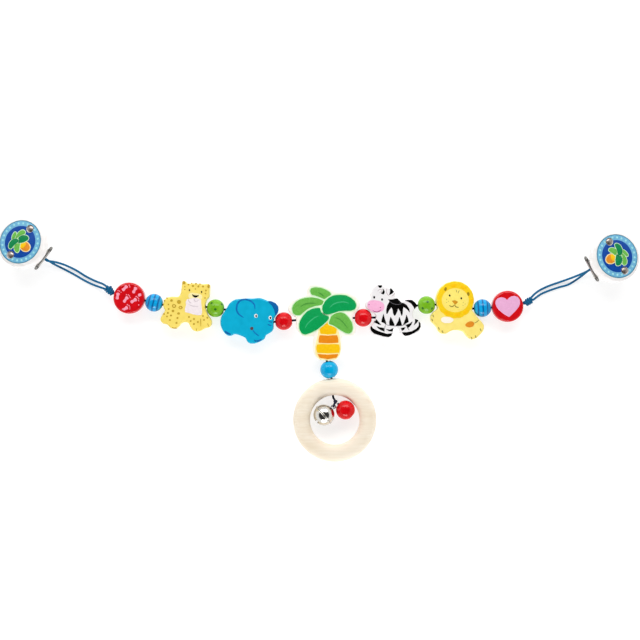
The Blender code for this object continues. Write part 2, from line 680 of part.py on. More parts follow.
def build_palm():
    """The palm tree, with its bore across and its bore up the trunk. Gives its three mouths."""
    outline, (left, right) = figure_shape(palm_outline_share, palm_mouths_share, PALM_WIDTH, PALM_HEIGHT)
    drop = sized([palm_drop_share], PALM_WIDTH, PALM_HEIGHT)[0]
    rise = (right.y - left.y) / (right.x - left.x)
    offset = Vector((0.0, left.x * rise - left.y, 0.0))
    left, right, drop = moved((left, right, drop), offset)
    red_right = link_ends(right, RIGHT_HEADINGS[0], PALM_TO_RED_RIGHT, RED_TO_ZEBRA)[0]
    red_left = link_ends(left, LEFT_HEADINGS[0], PALM_TO_RED_LEFT, RED_TO_ELEPHANT)[0]
    blue = link_ends(drop, PENDANT_HEADING, PALM_TO_BLUE, BLUE_TO_RING)[0]
    clear = kept_clear(moved(outline, offset), (red_right, red_left, blue))
    mesh = slab_mesh("palm", [(p.x, p.y) for p in clear], FLAT_THICKNESS, RIM_RADIUS)
    palm = add_part("palm", mesh, "cream_wood", Matrix.Translation((0.0, 0.0, flat_middle)))
    cut_bore(palm, "palm_bore", left, right, flat_middle)
    along = direction(PENDANT_HEADING)
    reach = (drop.y - rise * drop.x) / (along.y - rise * along.x)
    crossing = drop - along * reach
    cut_bore(palm, "palm_drop_bore", crossing, drop, flat_middle, start_overrun=0.0)
    cord = add_inner_cord("palm_cord", (left, right))
    stem_end = at_strand(drop - along * (STUB + GAP))
    stem_points = [tuple(at_strand(crossing)), tuple(stem_end)]
    stem = curve_mesh("palm_stem", tube_curve("palm_stem", stem_points, CORD_DIAMETER))
    combine(cord, add_cutter("palm_stem", stem), "UNION")
    return left, right, drop


def build_ring(mouth):
    """The wooden ring with its radial bore and the cord that comes through it. Gives the ring's middle."""
    along = direction(RING_BORE_HEADING)
    middle = mouth - along * ring_outer_radius
    middle.z = RING_SECTION / 2
    centre_radius = ring_outer_radius - RING_SECTION / 2
    open_turn = FULL_TURN / RING_SECTION_STEPS - FULL_TURN
    circle = arc((centre_radius, 0.0), RING_SECTION / 2, QUARTER_TURN, open_turn, RING_SECTION_STEPS)
    mesh = turned_mesh("ring", circle, RING_STEPS)
    mesh.transform(Matrix.Translation(Vector((middle.x - mouth.x, middle.y - mouth.y, 0.0))))
    ring = add_part("ring", mesh, "bare_wood", Matrix.Translation((mouth.x, mouth.y, middle.z)))
    inner = middle + along * ring_hole_radius
    cut_bore(ring, "ring_bore", Vector((mouth.x, mouth.y, 0.0)), Vector((inner.x, inner.y, 0.0)), middle.z)
    start = at_strand(mouth - along * (STUB + GAP))
    route = [start, at_strand(inner)]
    route += [Vector((x + middle.x, y + middle.y, z)) for x, y, z in ring_cord_route]
    add_strand("ring_cord", route)
    return Vector((middle.x, middle.y, 0.0))


def build_ring_bead(middle):
    """The red bead in the ring, its cord stopped by a sunk knot. Gives the tail knot's place."""
    reach = ring_hole_radius - ring_bead_radius - RING_BEAD_ROOM
    centre = middle + direction(RING_BEAD_HEADING) * reach
    centre.z = ring_bead_radius
    hole = cord_radius + BORE_PLAY
    seat = STOPPER_SEAT_DIAMETER / 2
    start = math.degrees(math.asin((hole + BEAD_LIP) / ring_bead_radius))
    end = HALF_TURN - math.degrees(math.asin((seat + BEAD_LIP) / ring_bead_radius))
    side = ball_side(ring_bead_radius, start, end, BEAD_ARC_POINTS)
    top = side[0][1]
    bottom = side[-1][1]
    profile = side + [(seat, bottom), (seat, bottom + STOPPER_SEAT_DEPTH),
                      (hole, bottom + STOPPER_SEAT_DEPTH), (hole, top)]
    mesh = turned_mesh("ring_bead", profile, BEAD_STEPS)
    add_part("ring_bead", mesh, "red_lacquer", lie_along(centre, RING_BEAD_BORE_HEADING))
    along = direction(RING_BEAD_BORE_HEADING)
    knot = centre + along * (top + TAIL_REACH)
    swell = STOPPER_DIAMETER / CORD_DIAMETER
    half = STOPPER_DIAMETER / 2
    seat_floor = centre + along * (bottom + STOPPER_SEAT_DEPTH - GAP)
    points = [knot - along * (TAIL_KNOT_DIAMETER / 2 + GAP), seat_floor + along * GAP, seat_floor,
              seat_floor - along * half / 2, seat_floor - along * half,
              seat_floor - along * stopper_share * half]
    add_strand("ring_bead_cord", points, "black_cord", [1.0, 1.0, (1.0 + swell) / 2, swell, swell, 1.0])
    return knot


def build_tail(middle, knot):
    """The knot inside the ring, and the cord's cut end that drops through the bell's eye."""
    ball = TAIL_KNOT_DIAMETER / 2
    side = ball_side(ball, 0.0, HALF_TURN, KNOT_ARC_POINTS)
    mesh = turned_mesh("tail_knot", side, SMALL_STEPS, closed=False)
    add_part("tail_knot", mesh, "black_cord", Matrix.Translation(knot))
    route = [(x + middle.x, y + middle.y, z) for x, y, z in bell_cord_route]
    add_strand("bell_cord", smooth_route(route, BEND_SPACING))


def shell_profile():
    """Half the bell's upper shell: a hemisphere with its wall, its eye's hole and a flange at its rim."""
    inner = bell_radius - BELL_WALL
    hole = BELL_EYE_HOLE / 2
    outer_start = math.degrees(math.asin(hole / bell_radius))
    inner_end = math.degrees(math.asin(hole / inner))
    outside = ball_side(bell_radius, outer_start, QUARTER_TURN, BELL_ARC_POINTS)
    inside = ball_side(inner, QUARTER_TURN, inner_end, BELL_ARC_POINTS)
    rim = GAP / 2
    flange = [(bell_radius, rim + BELL_FLANGE), (bell_flange_radius, rim + BELL_FLANGE),
              (bell_flange_radius, rim), (inner, rim)]
    return outside[:-1] + flange + inside[1:]


def build_bell(middle):
    """The bell: two shells that meet at flanges, slots in the lower one, a wire eye and a loose pellet."""
    reach = ring_hole_radius - bell_flange_radius - BELL_SIDE_ROOM
    centre = middle + direction(BELL_PLACE_HEADING) * reach
    centre.z = bell_flange_radius + FLOOR_PLAY
    frame = lie_along(centre, BELL_AXIS_HEADING)
    upper = turned_mesh("bell_upper_shell", shell_profile(), BELL_STEPS)
    add_part("bell_upper_shell", upper, "nickel", frame)
    build_lower_shell(frame)
    build_bell_eye(frame)
    pellet = PELLET_DIAMETER / 2
    side = ball_side(pellet, 0.0, HALF_TURN, KNOT_ARC_POINTS)
    mesh = turned_mesh("bell_pellet", side, SMALL_STEPS, closed=False)
    lowest = centre.z - (bell_radius - BELL_WALL) + pellet + GAP
    add_part("bell_pellet", mesh, "steel", Matrix.Translation((centre.x, centre.y, lowest)))


def build_lower_shell(frame):
    """The bell's lower shell: closed at its pole, with two crossed slots."""
    inner = bell_radius - BELL_WALL
    rim = GAP / 2
    outside = ball_side(bell_radius, QUARTER_TURN, HALF_TURN, BELL_ARC_POINTS)[1:]
    inside = ball_side(inner, HALF_TURN, QUARTER_TURN, BELL_ARC_POINTS)[:-1]
    profile = [(inner, -rim), (bell_flange_radius, -rim), (bell_flange_radius, -rim - BELL_FLANGE),
               (bell_radius, -rim - BELL_FLANGE)] + outside + inside
    mesh = turned_mesh("bell_lower_shell", profile, BELL_STEPS, closed=True)
    lower = add_part("bell_lower_shell", mesh, "nickel", frame)
    for name, size in (("slot_a", (BELL_SLOT_SPAN, BELL_SLOT_WIDTH, bell_radius)),
                       ("slot_b", (BELL_SLOT_WIDTH, BELL_SLOT_SPAN, bell_radius))):
        slot = add_cutter(name, box_mesh(name, size), frame @ Matrix.Translation((0.0, 0.0, -bell_radius)))
        combine(lower, slot, "DIFFERENCE")


def build_bell_eye(frame):
    """The wire eye: a loop over the upper shell whose feet turn out inside it."""
    radius = (BELL_EYE_DIAMETER - BELL_EYE_WIRE) / 2
    leg = (BELL_EYE_HOLE - BELL_EYE_WIRE) / 2 - GAP
    spread = math.degrees(math.asin(leg / radius))
    middle = bell_radius + 2 * GAP + cord_radius
    foot = bell_radius - BELL_WALL - BELL_EYE_FOOT
    loop = arc((0.0, middle), radius, spread - QUARTER_TURN, FULL_TURN - 2 * spread, SMALL_STEPS)
    path = [(leg + BELL_EYE_FOOT, foot), (leg, foot)] + loop + [(-leg, foot), (-leg - BELL_EYE_FOOT, foot)]
    points = [(0.0, y, z) for y, z in path]
    mesh = curve_mesh("bell_eye", tube_curve("bell_eye", points, BELL_EYE_WIRE))
    add_part("bell_eye", mesh, "nickel", frame)


def add_loop_knot(side, mouth, bore_heading, heading):
    """The plump knot against a disc, with the cord that enters the disc's bore. Gives its middle."""
    name = "loop_knot_" + side
    half = LOOP_KNOT_LENGTH / 2
    middle = at_strand(mouth + direction(heading) * (half + LOOP_KNOT_ROOM))
    profile = [(x * LOOP_KNOT_WIDTH / LOOP_KNOT_LENGTH, z)
               for x, z in ball_side(half, 0.0, HALF_TURN, KNOT_ARC_POINTS)]
    mesh = turned_mesh(name, profile, SMALL_STEPS, closed=False)
    knot = add_part(name, mesh, "blue_cord", lie_along(middle, heading))
    along = direction(bore_heading)
    points = [tuple(at_strand(mouth - along * STUB)), tuple(at_strand(mouth + along * cord_radius)),
              tuple(middle)]
    neck = curve_mesh("neck_" + side, tube_curve("neck_" + side, points, CORD_DIAMETER))
    combine(knot, add_cutter("neck_" + side, neck), "UNION")
    return middle


def bail_turn(bar, heading):
    """The cord's half turn round the bail's lower bar, from above it to below it."""
    back = -direction(heading)
    turn = arc((0.0, bail_bar_height), BAIL_TURN_RADIUS, QUARTER_TURN, -HALF_TURN, KNOT_ARC_POINTS)
    return [(bar.x + back.x * reach, bar.y + back.y * reach, height) for reach, height in turn]


def add_loop(side, middle, bar, heading, out, back):
    """The loop of cord from the knot, round the bail and back."""
    route = [(x + middle.x, y + middle.y, z) for x, y, z in out] + bail_turn(bar, heading)
    route += [(x + middle.x, y + middle.y, z) for x, y, z in back]
    add_strand("loop_cord_" + side, smooth_route(route, TUBE_SPACING), "blue_cord")


def clip_frame(side, bar, heading):
    """The clip's frame: origin on the bail's hinge, +X away from the wooden disc, tilted as it rests."""
    spot = Vector((bar.x, bar.y, knuckle_height))
    turn = Matrix.Rotation(math.radians(heading), 4, "Z") @ Matrix.Rotation(-clip_tilt, 4, "Y")
    return empty_at("clip_hinge_" + side, Matrix.Translation(spot) @ turn)


def build_end(side, mouth, bore_heading, knot_heading, route, bail_place, clip_heading):
    """What hangs on an end disc: knot, loop of cord, bail and clip."""
    middle = add_loop_knot(side, mouth, bore_heading, knot_heading)
    bar = Vector((middle.x + bail_place[0], middle.y + bail_place[1], 0.0))
    add_loop(side, middle, bar, clip_heading, *route)
    build_bail(side, bar, clip_heading)
    frame = clip_frame(side, bar, clip_heading)
    build_clip_disc(side, frame)
    build_rivets(side, frame)
    build_plate(side, frame)
    build_jaw(side, frame)
    build_lever(side, frame)


def rivet_places():
    """The two rivets' names and places across the clip."""
    return ("a", RIVET_SPACING / 2), ("b", -RIVET_SPACING / 2)


def build_clip_disc(side, frame):
    """The wooden disc, rounded at both rims, with two rivet holes sunk at the front."""
    radius = CLIP_DISC_DIAMETER / 2
    flat = radius - CLIP_DISC_ROUND
    half = CLIP_DISC_THICKNESS / 2
    top = arc((flat, half - CLIP_DISC_ROUND), CLIP_DISC_ROUND, QUARTER_TURN, -QUARTER_TURN, 4)
    bottom = arc((flat, CLIP_DISC_ROUND - half), CLIP_DISC_ROUND, 0.0, -QUARTER_TURN, 4)
    profile = [(0.0, half)] + top + bottom + [(0.0, -half)]
    mesh = turned_mesh("clip_disc_" + side, profile, DISC_STEPS, closed=False)
    middle = disc_back + half
    disc = add_part("clip_disc_" + side, mesh, "white_lacquer",
                    Matrix.Translation((-DISC_TO_BAIL, 0.0, middle)), frame)
    for end, y in rivet_places():
        hole = rod_mesh("disc_hole", RIVET_SHANK_DIAMETER / 2 + GAP, CLIP_DISC_THICKNESS + 2 * OVERRUN)
        seat = rod_mesh("disc_seat", RIVET_SEAT_DIAMETER / 2, 2 * RIVET_SEAT_DEPTH)
        for name, mesh, z in (("disc_hole_", hole, middle), ("disc_seat_", seat, disc_front)):
            spot = Matrix.Translation((-DISC_TO_BAIL, y, z))
            combine(disc, add_cutter(name + end + "_" + side, mesh, spot, frame), "DIFFERENCE")


def build_rivets(side, frame):
    """Two rivets through the disc and the sheet body, headed at both ends."""
    shank = RIVET_SHANK_DIAMETER / 2
    head = RIVET_HEAD_DIAMETER / 2
    seat = disc_front - RIVET_SEAT_DEPTH + GAP
    foot = plate_bottom - GAP
    dome = [(x, seat + z * RIVET_HEAD_HEIGHT / head) for x, z in ball_side(head, 0.0, QUARTER_TURN, 4)]
    profile = dome + [(shank, seat), (shank, foot), (head, foot), (shank, foot - SHEET),
                      (0.0, foot - SHEET)]
    for end, y in rivet_places():
        name = "clip_rivet_" + end + "_" + side
        mesh = turned_mesh(name, profile, SMALL_STEPS, closed=False)
        add_part(name, mesh, "steel", Matrix.Translation((-DISC_TO_BAIL, y, 0.0)), frame)


def build_plate(side, frame):
    """The sheet body: a strip rolled round the bail, two wings for the rivets and two ears for the pin."""
    roll = arc((0.0, 0.0), knuckle_radius, QUARTER_TURN, -ROLL_TURN, 10)
    path = [(-PLATE_REACH, knuckle_radius)] + roll
    name = "clip_plate_" + side
    plate = add_part(name, sheet_mesh(name, path, PLATE_WIDTH, SHEET), "steel", parent=frame)
    ear_bottom = pin_height - EAR_WIDTH / 2
    ear_height = knuckle_radius - ear_bottom
    ear_place = LEVER_WIDTH / 2 + GAP + SHEET / 2
    ear = (EAR_WIDTH, SHEET, ear_height)
    wing = box_mesh("wing", (WING_WIDTH, WING_SPAN, SHEET))
    helpers = [("wing", wing, (-DISC_TO_BAIL, 0.0, knuckle_radius))]
    for end, y in (("a", ear_place), ("b", -ear_place)):
        helpers.append(("ear_" + end, box_mesh("ear", ear), (-PIN_SETBACK, y, ear_bottom + ear_height / 2)))
    for helper, mesh, spot in helpers:
        combine(plate, add_cutter(helper + "_" + side, mesh, Matrix.Translation(spot), frame), "UNION")
    for end, y in rivet_places():
        rod = rod_mesh("plate_hole", RIVET_SHANK_DIAMETER / 2 + GAP, 2 * OVERRUN)
        spot = Matrix.Translation((-DISC_TO_BAIL, y, knuckle_radius))
        combine(plate, add_cutter("plate_hole_" + end + "_" + side, rod, spot, frame), "DIFFERENCE")
    rod = rod_mesh("ear_hole", PIN_DIAMETER / 2 + GAP, PLATE_WIDTH + 2 * OVERRUN)
    cross = Matrix.Translation((-PIN_SETBACK, 0.0, pin_height)) @ Matrix.Rotation(math.pi / 2, 4, "X")
    combine(plate, add_cutter("ear_hole_" + side, rod, cross, frame), "DIFFERENCE")


def build_jaw(side, frame):
    """The jaw strip, hooked up to the sheet body at its hinge, and its toothed pad."""
    hinge = Matrix.Translation((-JAW_HINGE_SETBACK, 0.0, pad_top))
    level = jaw_middle - pad_top
    far = JAW_HINGE_SETBACK - JAW_REACH
    path = [(far, level), (-SHEET, level), (0.0, level + SHEET), (0.0, 0.0)]
    jaw = sheet_mesh("clip_jaw_" + side, path, JAW_WIDTH, SHEET)
    add_part("clip_jaw_" + side, jaw, "steel", hinge, frame)
    base = level + SHEET / 2 + GAP
    pitch = PAD_LENGTH / PAD_TEETH
    outline = [(far, base)]
    for tooth in range(PAD_TEETH):
        outline += [(far + tooth * pitch, -PAD_TOOTH), (far + (tooth + tooth_tip_share) * pitch, 0.0)]
    outline += [(far + PAD_LENGTH, -PAD_TOOTH), (far + PAD_LENGTH, base)]
    pad = slab_mesh("clip_pad_" + side, outline, JAW_WIDTH)
    upright = hinge @ Matrix.Rotation(math.pi / 2, 4, "X")
    add_part("clip_pad_" + side, pad, "clear_plastic", upright, frame, smooth=PAD_SMOOTHING)


def cheek_outline():
    """The side of the lever's cheek: a cam that stands up from the strip."""
    half = CAM_WIDTH / 2
    nose = half * cheek_nose_share
    return ([(-half, -LEVER_STEP), (half * cheek_foot_share, -LEVER_STEP), (half, 0.0)]
            + arc((0.0, CAM_REACH - nose), nose, 0.0, HALF_TURN, 6) + [(-half, 0.0)])


def build_lever(side, frame):
    """The lever: a strip with a curled end and two cheeks whose cams press the jaw, on its pin."""
    pivot = Matrix.Translation((-PIN_SETBACK, 0.0, pin_height))
    upright = Matrix.Rotation(math.pi / 2, 4, "X")
    tip = LEVER_LENGTH - LEVER_CURL
    curl = arc((tip, -LEVER_STEP - LEVER_FALL + LEVER_CURL), LEVER_CURL, -QUARTER_TURN, CURL_TURN, 4)
    path = [(-CAM_WIDTH / 2, -LEVER_STEP), (tip * lever_flat_share, -LEVER_STEP)] + curl
    name = "clip_lever_" + side
    lever = add_part(name, sheet_mesh(name, path, LEVER_WIDTH, SHEET), "steel", pivot, frame)
    cheek_place = (LEVER_WIDTH - SHEET) / 2
    for end, y in (("a", cheek_place), ("b", -cheek_place)):
        cheek = slab_mesh("cheek", cheek_outline(), SHEET)
        spot = pivot @ Matrix.Translation((0.0, y, 0.0)) @ upright
        combine(lever, add_cutter("cheek_" + end + "_" + side, cheek, spot, frame), "UNION")
    rod = rod_mesh("cheek_hole", PIN_DIAMETER / 2 + GAP, LEVER_WIDTH + 2 * OVERRUN)
    combine(lever, add_cutter("cheek_hole_" + side, rod, pivot @ upright, frame), "DIFFERENCE")
    shaft = LEVER_WIDTH / 2 + GAP + SHEET + GAP
    radius = PIN_DIAMETER / 2
    head = PIN_HEAD_DIAMETER / 2
    profile = [(0.0, shaft + PIN_HEAD), (head, shaft + PIN_HEAD), (head, shaft), (radius, shaft),
               (radius, -shaft), (head, -shaft), (head, -shaft - PIN_HEAD), (0.0, -shaft - PIN_HEAD)]
    pin = turned_mesh("clip_pin_" + side, profile, SMALL_STEPS, closed=False)
    add_part("clip_pin_" + side, pin, "steel", pivot @ upright, frame)


def build_bail(side, bar, heading):
    """The wire bail, hanging from the rolled end of the sheet body. Its origin is on its hinge."""
    half = BAIL_WIDTH / 2 - BAIL_CORNER
    drop = BAIL_HEIGHT - BAIL_CORNER
    points = (arc((half, -BAIL_CORNER), BAIL_CORNER, 0.0, QUARTER_TURN, 5)
              + arc((-half, -BAIL_CORNER), BAIL_CORNER, QUARTER_TURN, QUARTER_TURN, 5)
              + arc((-half, -drop), BAIL_CORNER, HALF_TURN, QUARTER_TURN, 5)
              + arc((half, -drop), BAIL_CORNER, -QUARTER_TURN, QUARTER_TURN, 5))
    name = "bail_" + side
    wire = tube_curve(name, [(0.0, y, z) for y, z in points], BAIL_WIRE, cyclic=True)
    spot = Matrix.Translation((bar.x, bar.y, knuckle_height))
    turn = Matrix.Rotation(math.radians(heading), 4, "Z")
    add_part(name, curve_mesh(name, wire), "steel", spot @ turn)


def right_half(mouth):
    """The right half of the chain: zebra, lion and heart disc."""
    links = (("cord_palm_zebra", "red_bead_right", "red_lacquer", PALM_TO_RED_RIGHT, RED_TO_ZEBRA),
             ("cord_zebra_lion", "green_bead_right", "green_lacquer", ZEBRA_TO_GREEN, GREEN_TO_LION),
             ("cord_lion_heart", "striped_bead_right", "sky_lacquer", LION_TO_STRIPED, STRIPED_TO_HEART))
    zebra = figure_shape(zebra_outline_share, zebra_mouths_share, ZEBRA_WIDTH, ZEBRA_HEIGHT)
    figures = (("zebra", "white_lacquer", *zebra),
               ("lion", "yellow_lacquer", *lion_shape()),
               ("heart_disc", "red_lacquer", *disc_shape(HEART_BORE_HEADING)))
    return build_side(mouth, RIGHT_HEADINGS, links, figures)


def left_half(mouth):
    """The left half of the chain: elephant, leopard and footprint disc."""
    links = (("cord_palm_elephant", "red_bead_left", "red_lacquer", PALM_TO_RED_LEFT, RED_TO_ELEPHANT),
             ("cord_elephant_leopard", "green_bead_left", "green_lacquer", ELEPHANT_TO_GREEN,
              GREEN_TO_LEOPARD),
             ("cord_leopard_footprint", "striped_bead_left", "sky_lacquer", LEOPARD_TO_STRIPED,
              STRIPED_TO_FOOTPRINT))
    elephant, elephant_mouths = figure_shape(elephant_outline_share, elephant_mouths_share,
                                             ELEPHANT_WIDTH, ELEPHANT_HEIGHT)
    leopard, leopard_mouths = figure_shape(leopard_outline_share, leopard_mouths_share,
                                           LEOPARD_WIDTH, LEOPARD_HEIGHT)
    figures = (("elephant", "sky_lacquer", elephant, elephant_mouths[::-1]),
               ("leopard", "yellow_lacquer", leopard, leopard_mouths[::-1]),
               ("footprint_disc", "red_lacquer", *disc_shape(FOOTPRINT_BORE_HEADING)))
    return build_side(mouth, LEFT_HEADINGS, links, figures)


clear_scene()
parts = new_group("pram_chain_toy")
cutters = new_group("cutters")
left_mouth, right_mouth, drop_mouth = build_palm()
build_end("right", right_half(right_mouth), HEART_BORE_HEADING, RIGHT_KNOT_HEADING,
          (right_loop_out, right_loop_back), right_bail_place, RIGHT_CLIP_HEADING)
build_end("left", left_half(left_mouth), FOOTPRINT_BORE_HEADING, LEFT_KNOT_HEADING,
          (left_loop_out, left_loop_back), left_bail_place, LEFT_CLIP_HEADING)
add_link("cord_palm_ring", "blue_bead", "sky_lacquer", drop_mouth, PENDANT_HEADING, PALM_TO_BLUE,
         BLUE_TO_RING)
ring_middle = build_ring(link_ends(drop_mouth, PENDANT_HEADING, PALM_TO_BLUE, BLUE_TO_RING)[1])
build_tail(ring_middle, build_ring_bead(ring_middle))
build_bell(ring_middle)
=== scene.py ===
"""Pram chain toy as it lies on a pale table: printed wooden figures, beads, a ring with a bell, two clips."""

import json
import math

import bmesh
import bpy
import numpy as np
from mathutils import Matrix, Vector

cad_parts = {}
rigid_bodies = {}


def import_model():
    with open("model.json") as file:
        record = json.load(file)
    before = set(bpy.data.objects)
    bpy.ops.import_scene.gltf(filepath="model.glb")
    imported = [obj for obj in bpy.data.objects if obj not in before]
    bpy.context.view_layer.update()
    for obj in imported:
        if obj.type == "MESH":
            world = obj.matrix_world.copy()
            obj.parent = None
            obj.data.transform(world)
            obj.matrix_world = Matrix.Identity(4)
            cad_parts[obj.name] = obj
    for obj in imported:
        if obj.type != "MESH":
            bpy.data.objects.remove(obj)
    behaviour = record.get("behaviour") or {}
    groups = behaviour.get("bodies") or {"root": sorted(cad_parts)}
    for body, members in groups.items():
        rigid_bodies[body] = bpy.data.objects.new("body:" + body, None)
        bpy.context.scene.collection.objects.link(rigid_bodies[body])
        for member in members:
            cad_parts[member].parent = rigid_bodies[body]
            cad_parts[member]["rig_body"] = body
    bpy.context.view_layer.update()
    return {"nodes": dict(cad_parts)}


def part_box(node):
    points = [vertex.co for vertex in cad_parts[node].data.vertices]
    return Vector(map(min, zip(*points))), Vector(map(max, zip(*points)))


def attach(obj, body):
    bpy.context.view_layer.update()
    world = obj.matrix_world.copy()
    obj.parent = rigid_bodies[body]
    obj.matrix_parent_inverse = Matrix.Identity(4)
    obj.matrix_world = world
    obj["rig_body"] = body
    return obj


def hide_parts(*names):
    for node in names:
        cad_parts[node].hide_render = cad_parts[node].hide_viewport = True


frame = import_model()

MM = 0.001

# The photograph: millimetres to a pixel at the printed faces, and the pixel that lies over the toy's origin
PIXEL = 0.8 * MM
FRAME_PIXELS = 640
ORIGIN_PIXEL = (324.0, 319.1)
FACE_HEIGHT = 12.0 * MM
CAMERA_HEIGHT = 1300.0 * MM
SENSOR_WIDTH = 36.0

# Cord
CORD_DIAMETER = 1.8 * MM
ROUTE_SPACING = 2.2 * MM
BEND_SPACING = 0.9 * MM
BRAID_STEP = 0.16 * MM
BRAID_PITCH = 1.5 * MM
BRAID_RELIEF = 0.07
BRAID_CARRIERS = 4
CORD_SIDES = 24

# Wood
BEAD_DIAMETER = 14.6 * MM
BEAD_ROOM = 0.09 * MM
RING_BEAD_DIAMETER = 15.4 * MM
BORE_DIAMETER = 4.2 * MM
BORE_LIP = 0.6 * MM
LIP_TURN = 60.0
LIP_HEIGHT_SHARE = 0.8
DISC_DIAMETER = 25.0 * MM
RIM_RADIUS = 1.2 * MM
DISC_RIM = 2.0 * MM
RIM_STEPS = 6
OUTLINE_STEP = 0.4 * MM
OUTLINE_SOFTNESS = 0.9 * MM
OUTLINE_WELD = 0.002 * MM
LEVEL_ROOM = 0.03 * MM
RING_DIAMETER = 66.8 * MM
RING_SECTION = 13.6 * MM
BORE_OVERRUN = 60.0 * MM
TRUNK_BORE_LENGTH = 36.0 * MM
RING_BEAD_BORE_HEADING = 140.0
BEAD_STEPS = 72
BEAD_ROWS = 40
SECTION_STEPS = 56
CIRCLE_STEPS = 160

# Printed colours lie on the faces as thin films, one layer above another
LAYER = 0.05 * MM
FILM_ROOT = 0.03 * MM
FILM_EDGE = 0.06 * MM
INK_STEP = 0.22 * MM

# Bell
BELL_DIAMETER = 17.2 * MM
BELL_WALL = 0.7 * MM
BELL_FLANGE = 0.7 * MM
BELL_SEAM = 0.3 * MM
BELL_EYE_HOLE = 3.7 * MM
BELL_SLOT_WIDTH = 1.7 * MM
BELL_SLOT_SPAN = 11.0 * MM
BELL_SLOT_END = 3.0 * MM
BELL_EYE_WIRE = 0.9 * MM
BELL_EYE_DIAMETER = 4.2 * MM
BELL_EYE_FOOT = 1.6 * MM
BELL_EYE_ROOM = 0.6 * MM
EYE_SPACING = 0.15 * MM
EYE_SOFTNESS = 0.25 * MM
BELL_AXIS_HEADING = 41.0
BELL_STEPS = 120
BELL_ROWS = 30
SHELL_END = 5.0
WIRE_SIDES = 20

# Clips
CLIP_DISC_DIAMETER = 40.0 * MM
CLIP_DISC_THICKNESS = 11.0 * MM
CLIP_DISC_ROUND = 2.4 * MM
CLIP_DISC_BACK = 2.2 * MM
CLIP_DISC_STEPS = 140
DISC_TO_BAIL = 17.8 * MM
RIVET_SPACING = 26.0 * MM
RIVET_SEAT_DIAMETER = 6.4 * MM
RIVET_SEAT_DEPTH = 1.1 * MM
RIVET_HEAD_DIAMETER = 5.2 * MM
RIVET_HEAD_HEIGHT = 0.8 * MM
RIVET_SHANK_DIAMETER = 2.4 * MM
RIVET_ROOM = 0.3 * MM
RIVET_STEPS = 40
RIVET_FOOT = 0.8 * MM
FOOT_TAPER = 0.94
SHEET = 0.8 * MM
PLATE_HEIGHT = 1.5 * MM
BAIL_WIRE = 1.6 * MM
BAIL_WIDTH = 21.2 * MM
BAIL_HEIGHT = 8.0 * MM
BAIL_CORNER = 2.6 * MM
BAIL_SPACING = 0.5 * MM
BAIL_TURN_RADIUS = 4.0 * MM
BAIL_TURN_REACH = 2.4 * MM
BAIL_TURN_START = 120.0
LEVER_FALL = 6.0 * MM
LEVER_RUN = 19.7 * MM
CLIP_HEADINGS = {"left": -37.0, "right": 208.0}
KNOT_HEADINGS = {"left": 130.0, "right": 33.0}

# Knots
LOOP_KNOT_LENGTH = 8.4 * MM
LOOP_KNOT_POINTS = 260
LOOP_KNOT_WAVE = 0.35 * MM
STRAND_SPACING = 0.8 * MM
STRAND_DIAMETER = 0.94 * CORD_DIAMETER
STRAND_OFFSET = 0.72 * MM
STRAND_ENTRY_SHARE = 0.4
STRAND_WAY_SHARE = 0.6
KNOT_IN_DISC = 1.1 * MM
LOOP_KNOT_WIDTHS = {"left": 7.2 * MM, "right": 6.4 * MM}
LOOP_KNOT_TURNS = 3.6
LOOP_KNOT_TAPERS = {"left": 0.4, "right": 0.08}
LOOP_KNOT_ROUNDNESS = {"left": 0.12, "right": 0.4}
TAIL_KNOT_DIAMETER = 3.6 * MM
TAIL_KNOT_RISE = 1.4
TAIL_WIRE_SHARE = 0.2

clip_tilt = math.atan2(LEVER_FALL, LEVER_RUN)
clip_disc_front = CLIP_DISC_BACK + CLIP_DISC_THICKNESS
nodes = frame["nodes"]


# Routes of the end loops from the middle of their knot, and of the cords from the ring's middle
LOOP_OUT = {
    "left": np.array([
        (-2.75, 3.35, 5.3), (-6.2, 5.5, 3.2), (-11.9, 7.6, 1.4), (-19.9, 11.5, 1.0), (-27.9, 16.5, 1.0),
        (-36.4, 20.6, 3.2), (-42.1, 22.5, 6.8), (-46.3, 23.3, 9.9)]) * MM,
    "right": np.array([
        (2.65, 3.45, 5.3), (5.9, 6.5, 3.2), (10.4, 9.5, 1.4), (17.6, 12.8, 1.0), (25.6, 15.6, 1.0),
        (34.2, 18.7, 3.2), (39.6, 20.9, 6.8), (43.6, 22.7, 9.9)]) * MM}
LOOP_BACK = {
    "left": np.array([
        (-48.6, 23.3, 3.0), (-44.8, 21.0, 1.4), (-35.9, 16.5, 1.0), (-27.9, 12.2, 1.0), (-21.6, 8.5, 1.0),
        (-15.2, 5.3, 1.1), (-9.0, 3.0, 2.6), (-3.8, 1.32, 5.55)]) * MM,
    "right": np.array([
        (46.6, 23.2, 3.0), (42.6, 19.9, 1.4), (33.6, 14.0, 1.0), (25.6, 11.6, 1.0), (17.6, 8.9, 1.0),
        (11.4, 6.3, 1.2), (7.6, 3.9, 2.8), (4.2, 1.45, 5.45)]) * MM}
BAIL_PLACE = {"left": np.array((-52.3, 25.8)) * MM, "right": np.array((49.9, 26.0)) * MM}
RING_CORD_ROUTE = np.array([(-1.3, 18.4, 6.75), (-0.6, 17.1, 7.0)]) * MM
BELL_CORD_ROUTE = np.array([
    (0.2, 14.2, 9.8), (-0.1, 13.7, 10.9), (-0.45, 12.9, 11.9), (-0.8, 11.9, 12.1), (-1.05, 11.1, 11.4),
    (-1.08, 10.78, 10.2), (-1.08, 10.75, 8.8), (-1.08, 10.75, 6.3), (-1.08, 10.7, 3.6)]) * MM


# Finishes

def linear(code):
    """An sRGB hex colour as linear red, green, blue and alpha."""
    share = np.array([int(code[at:at + 2], 16) for at in (1, 3, 5)]) / 255
    value = np.where(share <= 0.04045, share / 12.92, ((share + 0.055) / 1.055) ** 2.4)
    return (*(float(part) for part in value), 1.0)


